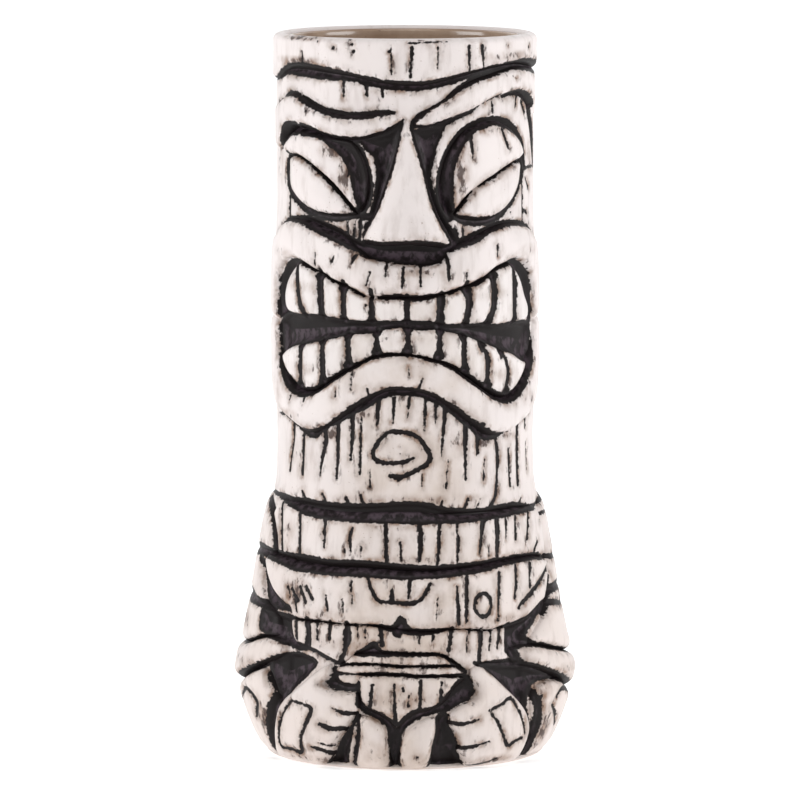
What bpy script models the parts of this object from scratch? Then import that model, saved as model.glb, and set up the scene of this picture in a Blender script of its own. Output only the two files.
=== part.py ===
"""Tiki mug: a turned stoneware vessel with a glaze lining, and a mask, bands, arms and hands luted on as relief.

Everything is given in millimetres and written out in metres. +Z is up, the foot stands on z = 0 and the mask
faces -Y. A place on the wall is (u, z). u is the arc length round the wall from the middle of the face, measured
at WRAP_RADIUS and positive to the wearer's left (+X), and z is the height. lift is the distance out from the
seat, which is SEAT_GAP off the wall.
"""

import math

import bmesh
import bpy
from mathutils import Vector

MM = 0.001

# Driving dimensions
HEIGHT = 180.0
HEAD_RADIUS = 31.2
FOOT_RADIUS = 33.6
BELLY_RADIUS = 36.0
MOUTH_RADIUS = 28.3  # inside of the clay wall
FLOOR = 6.0
LINING = 0.5
LINING_SHORT = 2.4  # how far the glaze stops under the mouth
COVE = 6.0  # radius of the corner between the bore and the floor
SEAT_GAP = 0.3  # slip joint between the wall and anything luted to it
BAND_LOW = 172.4  # the rim band's lower edge, away from the face
BAND_TOP = HEIGHT - 1.6
BAND_CHAMFER = 0.3
JOINT = 1.1  # open joint between two neighbours on the wall
WRAP_RADIUS = 32.0
FACETS = 64

# Relief over the seat
BAND_LIFT = 0.9
BROW_LIFT = 1.6
LID_LIFT = 1.3
EYE_LIFT = 1.5
EYE_EDGE = 0.4
LIP_LIFT = 2.0
LIP_EDGE = 0.9
TOOTH_LIFT = 0.9
NOSE_LIFT = 6.6
COLLAR_LIFT = 1.3
TRIM_LIFT = 1.0
HAND_LIFT = 3.2
KNEE_LIFT = 3.0
ELBOW_LIFT = 5.2
SHOULDER_LIFT = 2.0
FOREARM_LIFT = 4.0

# Outer side of the clay wall, as (z, radius) from the foot up; above the last point it is a cylinder
WALL_PROFILE = (
    (0.0, FOOT_RADIUS),
    (1.2, FOOT_RADIUS + 1.2),
    (10.0, BELLY_RADIUS - 0.2),
    (22.0, BELLY_RADIUS),
    (34.0, BELLY_RADIUS - 0.4),
    (46.0, BELLY_RADIUS - 1.6),
    (58.0, BELLY_RADIUS - 3.2),
    (68.0, HEAD_RADIUS + 0.4),
    (74.0, HEAD_RADIUS),
)

# Edges of the mouth, as (u, z) from the wearer's right to left
UPPER_LIP_TOP = (
    (-42.0, 131.5), (-36.0, 133.8), (-29.0, 134.0), (-22.0, 131.5), (-14.0, 127.5), (-7.0, 124.8),
    (0.0, 124.0), (7.0, 124.8), (14.0, 128.2), (22.0, 132.2), (30.0, 133.8), (37.0, 132.5),
    (42.0, 130.5),
)
UPPER_LIP_BOTTOM = (
    (-42.0, 118.0), (-38.0, 123.5), (-31.0, 125.0), (-24.0, 123.0), (-17.0, 119.8), (-10.0, 117.0),
    (0.0, 116.2), (10.0, 117.0), (17.0, 120.0), (24.0, 123.5), (31.0, 125.0), (38.0, 122.5), (42.0, 118.0),
)
LOWER_LIP_TOP = (
    (-42.0, 103.0), (-38.0, 97.0), (-31.0, 92.0), (-25.0, 91.0), (-18.0, 94.5), (-11.0, 100.0),
    (0.0, 102.8), (11.0, 99.5), (18.0, 94.0), (25.0, 90.0), (31.0, 90.0), (38.0, 95.5), (42.0, 102.0),
)
LOWER_LIP_BOTTOM = (
    (-42.0, 87.5), (-35.0, 84.2), (-27.0, 82.0), (-20.0, 83.8), (-12.0, 89.5), (-6.0, 93.3),
    (0.0, 94.4), (6.0, 93.3), (12.0, 89.5), (20.0, 83.4), (27.0, 81.6), (35.0, 84.0), (42.0, 87.0),
)
UPPER_TEETH_BOTTOM = 110.8
UPPER_TEETH_EDGES = (-36.0, -29.0, -21.5, -15.0, -8.0, 0.5, 8.0, 15.5, 22.5, 30.0, 36.5)
LOWER_TEETH_EDGES = (-34.0, -28.4, -20.8, -13.4, -6.4, 0.8, 8.0, 14.6, 21.2, 27.6, 33.0)
LOWER_TEETH_TOP = (
    (-34.0, 101.5), (-28.0, 104.0), (-14.0, 107.2), (0.0, 108.4), (14.0, 106.3), (28.0, 101.5),
    (33.0, 99.5),
)
TOOTH_GAP = 1.2
TOOTH_ROOT = 1.2  # how far the gaps stop short of the gum, so that a row stays one piece

COLLECTION_NAME = "tiki_mug"


def start_scene():
    """Clears the scene and returns the collection that holds the mug."""
    for obj in list(bpy.data.objects):
        bpy.data.objects.remove(obj)
    collection = bpy.data.collections.new(COLLECTION_NAME)
    bpy.context.scene.collection.children.link(collection)
    return collection


def ceramic(name, colour, roughness, coat):
    material = bpy.data.materials.new(name)
    material.use_nodes = True
    shader = material.node_tree.nodes["Principled BSDF"]
    shader.inputs["Base Color"].default_value = (*colour, 1.0)
    shader.inputs["Roughness"].default_value = roughness
    shader.inputs["Metallic"].default_value = 0.0
    shader.inputs["Coat Weight"].default_value = coat
    return material


def between(knots, x):
    """The height of a line of knots at x, straight between knots and level beyond its ends."""
    if x <= knots[0][0]:
        return knots[0][1]
    for (x0, y0), (x1, y1) in zip(knots, knots[1:]):
        if x <= x1:
            return y0 + (y1 - y0) * (x - x0) / (x1 - x0)
    return knots[-1][1]


def on_wall(u, z, lift):
    angle = u / WRAP_RADIUS
    radius = between(WALL_PROFILE, z) + SEAT_GAP + lift
    return Vector((radius * math.sin(angle), -radius * math.cos(angle), z)) * MM


def mesh_object(name, mesh, material, collection):
    obj = bpy.data.objects.new(name, mesh)
    obj.data.materials.clear()
    obj.data.materials.append(material)
    collection.objects.link(obj)
    return obj


def turned(name, profile, material, collection):
    """A solid of revolution. The profile is (radius, z) in millimetres, down its outer side."""
    mesh = bpy.data.meshes.new(name)
    points = [(radius * MM, 0.0, z * MM) for radius, z in profile]
    edges = [(i, i + 1) for i in range(len(points) - 1)]
    if profile[0][0] > 0.0:
        edges.append((len(points) - 1, 0))
    mesh.from_pydata(points, edges, [])
    obj = mesh_object(name, mesh, material, collection)
    screw = obj.modifiers.new("Turn", "SCREW")
    screw.steps = FACETS
    screw.render_steps = FACETS
    screw.use_merge_vertices = True
    screw.merge_threshold = 0.00002
    return obj


def evaluated_mesh(obj):
    """A copy of the object's mesh with its modifiers in it."""
    graph = bpy.context.evaluated_depsgraph_get()
    return bpy.data.meshes.new_from_object(obj.evaluated_get(graph))


def straight_slab(outline):
    """A slab with straight edges, in the flat plane; its outer face has z above 0."""
    slab = bmesh.new()
    low, high = ([slab.verts.new((u, z, side)) for u, z in outline] for side in (-1.0, 1.0))
    slab.faces.new(high)
    slab.faces.new(list(reversed(low)))
    for k in range(len(outline)):
        slab.faces.new((high[k - 1], low[k - 1], low[k], high[k]))
    slab.normal_update()
    bmesh.ops.triangulate(slab, faces=slab.faces[:])
    bmesh.ops.recalc_face_normals(slab, faces=slab.faces[:])
    mesh = bpy.data.meshes.new("outline")
    slab.to_mesh(mesh)
    slab.free()
    return mesh


def curved_slab(outline):
    """A slab with a smooth outline through the knots, in the flat plane; its outer face has z above 0."""
    curve = bpy.data.curves.new("outline", "CURVE")
    curve.dimensions = "2D"
    curve.fill_mode = "BOTH"
    curve.extrude = 1.0
    curve.resolution_u = 2
    spline = curve.splines.new("BEZIER")
    spline.bezier_points.add(len(outline) - 1)
    spline.use_cyclic_u = True
    for knot, (u, z) in zip(spline.bezier_points, outline):
        knot.co = (u, z, 0.0)
        knot.handle_left_type = "AUTO"
        knot.handle_right_type = "AUTO"
    obj = bpy.data.objects.new("outline", curve)
    bpy.context.scene.collection.objects.link(obj)
    mesh = evaluated_mesh(obj)
    bpy.data.objects.remove(obj)
    bpy.data.curves.remove(curve)
    return mesh


def cut_lines(slab, values, axis):
    normal = Vector((1.0, 0.0, 0.0)) if axis == 0 else Vector((0.0, 1.0, 0.0))
    for value in values:
        bmesh.ops.bisect_plane(
            slab,
            geom=slab.verts[:] + slab.edges[:] + slab.faces[:],
            dist=0.02,
            plane_co=normal * value,
            plane_no=normal,
        )


def facet_lines(low, high):
    """The u of each edge between two facets of the wall, from low to high."""
    step = 2 * math.pi * WRAP_RADIUS / FACETS
    return [step * k for k in range(math.ceil(low / step), math.floor(high / step) + 1)]


def height_lines(low, high, spacing):
    """Heights to cut at: the knots of the wall's profile and, for a modelled top, evenly spaced ones."""
    lines = [z for z, _ in WALL_PROFILE if low < z < high]
    if spacing:
        count = math.ceil((high - low) / spacing)
        lines += [low + (high - low) * k / count for k in range(1, count)]
    return lines


def relief(name, outline, lift, material, collection, smooth=True, spacing=None):
    """A piece of relief laid on the wall. lift is a height, or a function of (u, z) that gives it."""
    mesh = curved_slab(outline) if smooth else straight_slab(outline)
    slab = bmesh.new()
    slab.from_mesh(mesh)
    bmesh.ops.remove_doubles(slab, verts=slab.verts[:], dist=0.01)
    if smooth:
        bmesh.ops.dissolve_limit(slab, angle_limit=0.01, verts=slab.verts[:], edges=slab.edges[:])
    across = [vert.co.x for vert in slab.verts]
    upward = [vert.co.y for vert in slab.verts]
    cut_lines(slab, facet_lines(min(across), max(across)), 0)
    cut_lines(slab, height_lines(min(upward), max(upward), spacing), 1)
    slab.normal_update()
    bmesh.ops.triangulate(slab, faces=slab.faces[:])
    bmesh.ops.recalc_face_normals(slab, faces=slab.faces[:])
    for vert in slab.verts:
        u, z, side = vert.co
        height = 0.0
        if side > 0.0:
            height = lift(u, z) if callable(lift) else lift
        vert.co = on_wall(u, z, height)
    slab.to_mesh(mesh)
    slab.free()
    mesh.name = name
    return mesh_object(name, mesh, material, collection)


def dome(centre, half, edge, top):
    """A lift function: `edge` high at the rim of an ellipse and `top` high over its middle."""

    def lift(u, z):
        away = ((u - centre[0]) / half[0]) ** 2 + ((z - centre[1]) / half[1]) ** 2
        return edge + (top - edge) * math.sqrt(max(0.0, 1.0 - away))

    return lift


def barrel(u, middle, half, edge, top):
    """The height across an arm on either side: `edge` at its two edges and `top` along its middle."""
    across = (abs(u) - middle) / half
    return edge + (top - edge) * math.sqrt(max(0.0, 1.0 - across * across))


def mirrored(outline):
    return [(-u, z) for u, z in reversed(outline)]


def band_outline(top, bottom):
    """The outline between two lines of knots, anticlockwise."""
    return list(bottom) + list(reversed(top))


def cove_points(radius, floor, cove):
    """The rounded corner between the floor and an upright wall, from the floor up."""
    turns = [math.radians(degrees) for degrees in range(0, 91, 30)]
    return [(radius - cove + cove * math.sin(turn), floor + cove - cove * math.cos(turn)) for turn in turns]


def vessel_wall(material, collection):
    """The thrown cup: floor, wall and a rounded mouth, solid from the foot up to the floor."""
    middle = (MOUTH_RADIUS + HEAD_RADIUS) / 2
    half = (HEAD_RADIUS - MOUTH_RADIUS) / 2
    turns = [math.radians(degrees) for degrees in range(0, 181, 30)]
    lip = [(middle - half * math.cos(turn), HEIGHT - half + half * math.sin(turn)) for turn in turns]
    inside = cove_points(MOUTH_RADIUS, FLOOR, COVE)
    outside = [(radius, z) for z, radius in reversed(WALL_PROFILE)]
    profile = [(0.0, FLOOR)] + inside + lip + outside + [(0.0, 0.0)]
    return turned("vessel_wall", profile, material, collection)


def glaze_lining(material, collection):
    """The fired glaze inside the cup, up to just under the mouth."""
    outer = MOUTH_RADIUS - SEAT_GAP
    inner = outer - LINING
    top = HEIGHT - LINING_SHORT
    under = FLOOR + SEAT_GAP
    floor = under + LINING
    inside = [(0.0, floor)] + cove_points(inner, floor, COVE - SEAT_GAP - LINING) + [(inner, top)]
    outside = [(outer, top)] + list(reversed(cove_points(outer, under, COVE - SEAT_GAP))) + [(0.0, under)]
    return turned("glaze_lining", inside + outside, material, collection)


def rim_wave(angle):
    """Height of the rim band's lower edge: it dips over the nose and rises over each eye."""
    dip, rise = 3.0, 1.4
    eye_angle = 0.9
    front = 0.5 + 0.5 * math.cos(angle)
    return BAND_LOW - dip * front**12 + rise * math.exp(-((abs(angle) - eye_angle) ** 2) / 0.1)


def rim_band(material, collection):
    """A coil round the mouth with a wavy lower edge, turned and then cut to the wave."""
    inner = HEAD_RADIUS + SEAT_GAP
    outer = inner + BAND_LIFT
    shoulder = BAND_TOP - 2 * BAND_CHAMFER
    profile = [
        (inner, BAND_TOP), (outer - BAND_CHAMFER, BAND_TOP), (outer, shoulder), (outer, BAND_LOW),
        (inner, BAND_LOW),
    ]
    obj = turned("rim_band", profile, material, collection)
    mesh = evaluated_mesh(obj)
    obj.modifiers.clear()
    for vert in mesh.vertices:
        if vert.co.z < (BAND_LOW + 1.0) * MM:
            vert.co.z = rim_wave(math.atan2(vert.co.x, -vert.co.y)) * MM
    obj.data = mesh
    return obj


def brows(material, collection):
    right = [
        (-42.0, 160.0), (-37.0, 160.2), (-31.0, 159.8), (-26.0, 158.4), (-18.0, 157.4), (-10.0, 157.2),
        (-3.0, 159.4), (-4.0, 161.0), (-10.0, 160.0), (-16.0, 160.6), (-22.0, 161.6), (-27.0, 163.8),
        (-34.0, 164.8), (-41.0, 163.0),
    ]
    relief("brow_right", right, BROW_LIFT, material, collection)
    left = [
        (3.0, 158.8), (8.0, 159.6), (14.0, 162.4), (20.0, 164.0), (28.0, 165.2), (36.0, 164.8),
        (43.0, 161.8), (42.0, 165.0), (36.0, 168.0), (28.0, 170.0), (20.0, 169.0), (12.0, 166.0),
        (5.0, 161.6),
    ]
    relief("brow_left", left, BROW_LIFT, material, collection)


def eyes(material, collection):
    """Each eye is a slanted lens with a lid over its outer upper side."""
    right_eye = [
        (-33.0, 148.6), (-33.0, 143.0), (-30.0, 138.6), (-24.0, 136.4), (-17.0, 136.0), (-13.2, 137.0),
        (-17.0, 141.4), (-22.0, 145.8), (-28.0, 149.4),
    ]
    left_eye = [
        (12.8, 136.4), (18.0, 135.2), (24.0, 135.6), (30.0, 138.4), (33.4, 143.0), (34.0, 148.6),
        (29.0, 147.6), (22.0, 144.6), (16.0, 140.6),
    ]
    right_lid = [
        (-31.0, 151.0), (-25.0, 149.6), (-19.0, 146.0), (-12.2, 139.8), (-10.4, 143.0), (-11.0, 149.0),
        (-15.0, 153.4), (-22.0, 154.8), (-30.0, 155.2), (-35.0, 153.0),
    ]
    left_lid = [
        (11.6, 138.6), (16.0, 143.0), (22.0, 146.8), (28.0, 149.4), (34.4, 150.6), (32.0, 155.0),
        (27.0, 157.6), (20.0, 157.8), (14.0, 155.4), (11.2, 150.0), (10.4, 144.0),
    ]
    half = (14.0, 9.0)
    for side, eye, lid, middle in (
        ("right", right_eye, right_lid, (-24.0, 142.5)),
        ("left", left_eye, left_lid, (24.0, 142.0)),
    ):
        bulge = dome(middle, half, EYE_EDGE, EYE_LIFT)
        relief("eye_" + side, eye, bulge, material, collection, spacing=3.0)
        relief("eyelid_" + side, lid, LID_LIFT, material, collection)


def nose(material, collection):
    """A wedge that stands further out towards its tip and falls away on both sides of its ridge."""
    apex = 158.0
    tip = 131.0
    half_width = 9.0
    thin = 0.8  # half width and lift at the apex

    def lift(u, z):
        down = (apex - z) / (apex - tip)
        flank = abs(u) / (thin + (half_width - thin) * down)
        return thin + (NOSE_LIFT - thin) * down**1.2 * (1.0 - 0.85 * min(1.0, flank) ** 1.6)

    flank_points = [(1.6, 154.0), (4.0, 145.0), (6.4, 137.0), (half_width, tip + 1.0), (7.0, tip)]
    outline = [(0.0, apex)] + [(-u, z) for u, z in flank_points] + list(reversed(flank_points))
    relief("nose", outline, lift, material, collection, smooth=False, spacing=4.5)


def lips(material, collection):
    """The lips are moulded bands, highest along their middles."""

    def moulded(top, bottom):
        def lift(u, z):
            low, high = between(bottom, u), between(top, u)
            across = (2 * z - low - high) / max(1.0, high - low)
            return LIP_EDGE + (LIP_LIFT - LIP_EDGE) * math.sqrt(max(0.0, 1.0 - across * across))

        return lift

    for name, top, bottom in (
        ("upper_lip", UPPER_LIP_TOP, UPPER_LIP_BOTTOM),
        ("lower_lip", LOWER_LIP_TOP, LOWER_LIP_BOTTOM),
    ):
        relief(name, band_outline(top, bottom), moulded(top, bottom), material, collection, spacing=4.0)


def tooth_row(name, edges, gum, bite, direction, material, collection):
    """A row of teeth as a comb. gum and bite are functions of u; direction is +1 when the bite is below."""
    outline = []
    for right, left in zip(edges, edges[1:]):
        a = right + TOOTH_GAP / 2
        b = left - TOOTH_GAP / 2
        if outline:
            outline.append((a, gum(a) - direction * TOOTH_ROOT))
        outline += [(a, bite(a)), (b, bite(b))]
        if left != edges[-1]:
            outline.append((b, gum(b) - direction * TOOTH_ROOT))
    outline += [(u, gum(u)) for u in reversed(edges[1:-1])]
    outline.insert(0, (edges[0] + TOOTH_GAP / 2, gum(edges[0])))
    outline.insert(-len(edges) + 2, (edges[-1] - TOOTH_GAP / 2, gum(edges[-1])))
    if direction < 0:
        outline.reverse()
    relief(name, outline, TOOTH_LIFT, material, collection, smooth=False)


def teeth(material, collection):
    tooth_row(
        "upper_teeth",
        UPPER_TEETH_EDGES,
        lambda u: between(UPPER_LIP_BOTTOM, u) - JOINT,
        lambda u: UPPER_TEETH_BOTTOM,
        1,
        material,
        collection,
    )
    tooth_row(
        "lower_teeth",
        LOWER_TEETH_EDGES,
        lambda u: between(LOWER_LIP_TOP, u) + JOINT,
        lambda u: between(LOWER_TEETH_TOP, u),
        -1,
        material,
        collection,
    )


def bands(material, collection):
    """The neck band, the collar on the shoulders, the fringe under it, the belt and the apron below it."""
    neck = [
        (-37.0, 52.4), (-25.0, 51.6), (0.0, 51.2), (25.0, 51.4), (38.0, 52.2), (38.0, 61.0), (25.0, 61.0),
        (0.0, 60.8), (-25.0, 61.0), (-36.0, 62.0),
    ]
    relief("neck_band", neck, BAND_LIFT, material, collection)
    collar = [
        (-33.0, 37.0), (-26.0, 35.8), (-14.0, 35.4), (-4.0, 35.0), (-1.2, 37.6), (1.6, 34.6), (14.0, 34.2),
        (24.0, 34.6), (31.0, 37.4), (39.0, 47.4), (25.0, 47.2), (0.0, 46.6), (-25.0, 47.0), (-39.0, 48.2),
    ]
    relief("collar", collar, COLLAR_LIFT, material, collection)
    fringe = [
        (-27.0, 33.8), (-21.0, 27.0), (-12.6, 27.0), (-11.4, 30.8), (8.4, 30.8), (10.4, 26.0), (20.0, 25.0),
        (25.4, 32.6), (14.0, 33.0), (-1.0, 33.6), (-14.0, 34.2),
    ]
    relief("fringe", fringe, TRIM_LIFT, material, collection, smooth=False)
    for name, low, high, half in (("belt_upper", 25.2, 27.0, 9.2), ("belt_lower", 22.2, 24.2, 11.4)):
        bar = [(-half, low), (half, low), (half, high), (-half, high)]
        relief(name, bar, TRIM_LIFT, material, collection, smooth=False)
    apron = [(-9.4, 20.8), (-8.6, 15.4), (-4.4, 12.0), (-1.6, 10.4), (1.0, 12.0), (6.4, 15.4), (10.6, 20.8)]
    relief("apron", apron, TRIM_LIFT, material, collection, smooth=False)


def arms(material, collection):
    """Each side has the rounded upper arm, a cuff at the elbow and the forearm under it."""
    upper = [
        (40.0, 31.0), (42.0, 45.0), (42.6, 58.0), (47.0, 64.4), (56.0, 66.4), (65.0, 64.0), (69.6, 56.0),
        (69.0, 42.0), (66.0, 31.4), (53.0, 30.0),
    ]
    cuff = [
        (35.0, 24.0), (39.0, 19.8), (50.0, 18.4), (63.0, 19.2), (67.0, 23.0), (64.0, 28.0), (52.0, 27.8),
        (40.0, 27.8),
    ]
    lower = [
        (39.0, 2.8), (52.0, 2.2), (64.0, 2.8), (66.0, 9.0), (62.0, 15.6), (50.0, 16.2), (41.0, 16.2),
        (37.6, 9.0),
    ]
    forearm_dome = dome((52.0, 13.0), (16.0, 16.0), 0.4, FOREARM_LIFT)

    def arm_lift(u, z):
        """The arm swells from the shoulder, at z = 66, down to its lower end, 38 under it."""
        swell = SHOULDER_LIFT + 2.6 * (66.0 - z) / 38.0
        return barrel(u, 55.0, 16.5, 0.6, swell)

    def cuff_lift(u, z):
        return barrel(u, 52.0, 21.0, 0.8, ELBOW_LIFT)

    def forearm_lift(u, z):
        return forearm_dome(abs(u), z)

    for name, outline, lift in (
        ("arm_", upper, arm_lift),
        ("elbow_cuff_", cuff, cuff_lift),
        ("forearm_", lower, forearm_lift),
    ):
        relief(name + "left", outline, lift, material, collection, spacing=6.0)
        relief(name + "right", mirrored(outline), lift, material, collection, spacing=6.0)


def hands_and_knees(material, collection):
    """The hands meet the belt with their thumbs up. The knees fill the gap between them down to the foot."""
    hand = [
        (34.0, 4.0), (31.0, 2.8), (15.6, 2.8), (13.4, 8.0), (15.0, 14.0), (14.0, 19.0), (18.0, 24.2),
        (24.0, 20.0), (31.0, 15.0), (34.6, 10.0),
    ]
    knee = [(3.0, 1.6), (10.6, 1.6), (11.8, 6.0), (10.6, 12.0), (6.6, 13.2), (2.8, 9.0)]
    hand_lift = dome((24.0, 12.0), (15.0, 15.0), 1.2, HAND_LIFT)
    knee_lift = dome((7.0, 5.0), (6.5, 10.0), 1.0, KNEE_LIFT)
    centre = -1.5  # the u half-way between the hands, a little to the wearer's right
    for name, outline, lift in (("hand_", hand, hand_lift), ("knee_", knee, knee_lift)):
        for side, shape in (("left", outline), ("right", mirrored(outline))):
            moved = [(u + centre, z) for u, z in shape]
            relief(name + side, moved, about(centre, lift), material, collection, spacing=4.0)


def about(centre, lift):
    """The same lift on both sides of the line u = centre."""
    return lambda u, z: lift(abs(u - centre), z)


def build():
    collection = start_scene()
    stained = ceramic("stained_stoneware", (0.74, 0.67, 0.62), 0.38, 0.35)
    wall_clay = ceramic("wall_stoneware", (0.76, 0.70, 0.66), 0.4, 0.35)
    tooth_glaze = ceramic("tooth_glaze", (0.82, 0.77, 0.72), 0.32, 0.45)
    lining = ceramic("lining_glaze", (0.38, 0.25, 0.16), 0.18, 0.6)
    vessel_wall(wall_clay, collection)
    glaze_lining(lining, collection)
    rim_band(stained, collection)
    brows(stained, collection)
    eyes(stained, collection)
    nose(stained, collection)
    lips(stained, collection)
    teeth(tooth_glaze, collection)
    bands(stained, collection)
    arms(stained, collection)
    hands_and_knees(stained, collection)


build()
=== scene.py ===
"""Looks of the tiki mug: each carved piece as a sculpted mesh, its stain and glazes, and the studio.

Shapes are drawn on the unrolled wall in millimetres. u is the arc length round the wall from the middle of
the mask, positive towards +X and measured at WRAP, and z is the height over the foot. A stroke is a list of
(u, z, width) and an area is a list of (u, z). The same strokes carve the clay and carry the dark stain, as
on the real mug. Left and right in names are the mask's own, so right is at negative u.
"""

import math

import bpy
import numpy as np
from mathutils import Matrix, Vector


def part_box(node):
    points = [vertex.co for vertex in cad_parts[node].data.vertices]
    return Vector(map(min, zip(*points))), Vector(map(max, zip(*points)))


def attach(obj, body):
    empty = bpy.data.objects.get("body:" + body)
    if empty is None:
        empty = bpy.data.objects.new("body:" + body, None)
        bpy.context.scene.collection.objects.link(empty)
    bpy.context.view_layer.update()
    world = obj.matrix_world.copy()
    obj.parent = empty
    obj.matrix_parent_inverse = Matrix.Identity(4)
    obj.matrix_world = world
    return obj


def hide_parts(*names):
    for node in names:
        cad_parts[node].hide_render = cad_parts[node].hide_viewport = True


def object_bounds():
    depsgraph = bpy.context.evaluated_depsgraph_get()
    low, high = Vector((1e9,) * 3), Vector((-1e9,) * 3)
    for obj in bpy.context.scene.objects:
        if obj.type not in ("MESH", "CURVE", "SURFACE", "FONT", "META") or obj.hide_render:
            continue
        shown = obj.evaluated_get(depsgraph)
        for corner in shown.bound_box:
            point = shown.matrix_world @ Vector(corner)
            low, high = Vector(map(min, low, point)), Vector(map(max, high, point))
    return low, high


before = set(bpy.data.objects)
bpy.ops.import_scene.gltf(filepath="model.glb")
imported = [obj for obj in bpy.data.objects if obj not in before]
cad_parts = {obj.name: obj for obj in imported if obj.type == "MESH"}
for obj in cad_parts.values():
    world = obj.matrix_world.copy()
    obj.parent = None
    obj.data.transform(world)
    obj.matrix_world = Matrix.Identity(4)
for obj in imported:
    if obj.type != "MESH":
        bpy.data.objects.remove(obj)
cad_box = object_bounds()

MM = 0.001
WRAP = 32.0  # the radius at which u is measured
ROUND = 2 * math.pi * WRAP  # once round the wall, in u

# Sizes from the frame, in millimetres
HEIGHT = cad_box[1][2] / MM
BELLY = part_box("vessel_wall")[1][0] / MM
HEAD_SHARE = 0.886
HEAD = HEAD_SHARE * BELLY  # radius of the wall behind the mask
LINING_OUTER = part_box("glaze_lining")[1][0] / MM
LINING_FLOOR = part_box("glaze_lining")[0][2] / MM
BORE = LINING_OUTER + 0.3

# The inside and the mouth
FLARE = 1.5  # how much the bore opens towards the lip
FLARE_LOW = 16.0  # the flare starts this far below the rim
FLARE_HIGH = 3.0  # and is all there this far below it
FLARE_HEIGHTS = (177.0, 174.0, 171.0, 168.0, 164.0)
LINING_SHORT = 0.8  # from the lining's top edge to the rim
LINING_THICK = 0.5
LINING_MIDDLE = 3.0  # radius of the first ring round the middle of the floor
COVE = 6.0
RIM_LIFT = 0.9
RIM_ROLL = 1.5  # radius of the rolled top edge of the coil
RIM_EDGE = 1.4  # the coil rounds off over this much of its lower edge
RIM_SINK = 0.4
RIM_RINGS = 36
TURN_STEP = 15  # degrees between points on a small round

# Mesh steps
FINE = 0.3
WALL_STEP = 0.42
BACK_STEP = 1.3
FRONT_HALF = 52.0  # the close columns go this far each way from the middle of the face
JOIN = 63.0  # height where the upper and lower wall meet, in the neck groove

# Carving: a shallow cut over one span of the field's values, and a deeper one where strokes are wide
SHALLOW = 0.42
SHALLOW_SPAN = (-0.55, 0.35)
DEEP = 0.95
DEEP_SPAN = (0.4, 1.9)
CARVING_FADES = (40.0, 48.0)  # over these distances from the middle of the face it loses FADED_SHARE
FADED_SHARE = 0.55
RELIEF_FADES = (34.0, 50.0)  # the same for the lift of the face's pieces

# The nose and the hands, in u and z
NOSE_TOP = 160.0
NOSE_LENGTH = 27.0
NOSE_TIP = 128.4
TIP_ROUND = 3.2
HAND_MIDDLE = (22.5, 10.0)
HAND_HALF = (16.0, 19.0)

# Relief pieces
MARGIN = 0.5
LOWEST = 0.12  # no relief goes lower than this over the foot
SKIRT = 0.36  # how far a piece goes on outside its outline
SINK_OVER = 0.35
BURIED = 0.9  # how deep a piece's edge goes into the wall
BACKING = 2.4  # from the wall's outside in to the hidden back of a piece

# The arms' swell at the sides, as the middle and half width of each arm in u
ARM_MIDDLE = 53.0
ARM_HALF = 23.5
SWELL_SHARE = 0.62  # how much of the arms' swell is in the wall under them

# The camera looks down a little more than the drawing was made for, so the low part of the drawing moves up
SETTLE = 1.0
SETTLE_FOOT = 5.0  # it moves less below this height, and not at all on the floor

# Widths at the two ends of a tooth corner, the length of a spot, and how a patch of smudge and painted
# shade fades over its size
CORNER_WIDTHS = (1.2, 3.0)
SPOT_LENGTH = 0.05
SMUDGE_AND_SHADE_SPAN = (0.1, 1.35)


def folded(u):
    """u brought back to within half a turn of the middle of the face."""
    return (np.asarray(u) + ROUND / 2) % ROUND - ROUND / 2


def smooth_step(low, high, value):
    """0 below low, 1 above high, and a smooth rise between them."""
    t = np.clip((value - low) / (high - low), 0.0, 1.0)
    return t * t * (3 - 2 * t)


def quarter_round(share):
    """Rises from 0 to 1 as a quarter circle does."""
    return np.sqrt(1 - (1 - np.clip(share, 0, 1)) ** 2)


def between(line, start, end):
    """The (u, z) of a line's points from u = start to u = end, in that order."""
    found = [point[:2] for point in sorted(line) if min(start, end) <= point[0] <= max(start, end)]
    return found if start < end else found[::-1]


# ---- The drawing: dark strokes, as (u, z, width) ----
# Seams: strokes that part two pieces, or that a piece's outline follows
RIM_WAVE = [
    (-100, 171.4, 2.6), (-80, 170.8, 2.6), (-60, 169.6, 2.2), (-50, 168.6, 1.2), (-44, 168.9, 1),
    (-40, 170.1, 1.7), (-36, 171.4, 2.4), (-31, 171.8, 3.6), (-25, 171.5, 3.8), (-19, 171, 3.2),
    (-13, 170.4, 2.4), (-7, 169.2, 2.4), (0, 168.4, 2.6), (6, 168.7, 2.4), (12, 169.9, 2.2),
    (18, 171.3, 2), (24, 172.3, 1.9), (30, 172.8, 2.2), (36, 172.6, 3.2), (44, 171.8, 3.8),
    (52, 171, 3.6), (66, 170.6, 3), (84, 171.2, 2.6), (101, 171.4, 2.6),
]
RIGHT_BROW_END = [
    (-43, 162.8, 0.5), (-39, 164, 0.9), (-36, 165.3, 1.5), (-33, 165.6, 1.5), (-30.5, 165.4, 1.3),
]
RIGHT_BROW_TOP = [
    (-29, 164.8, 1.6), (-26, 163.6, 1.8), (-22, 162.2, 1.8), (-18, 161.3, 2), (-14, 161, 2),
    (-10, 161.1, 2), (-6, 161.8, 1.7), (-2.5, 161.7, 0.7),
]
RIGHT_BROW_FOOT = [
    (-28.2, 157.1, 3.4), (-26, 156.8, 3), (-23, 156.2, 2.4), (-20, 155.5, 2.2), (-16, 155, 2),
    (-12, 155, 1.8), (-8, 155.8, 1.6), (-4, 157.5, 1.4), (-1, 159.5, 1), (-0.3, 160.3, 0.4),
]
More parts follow.
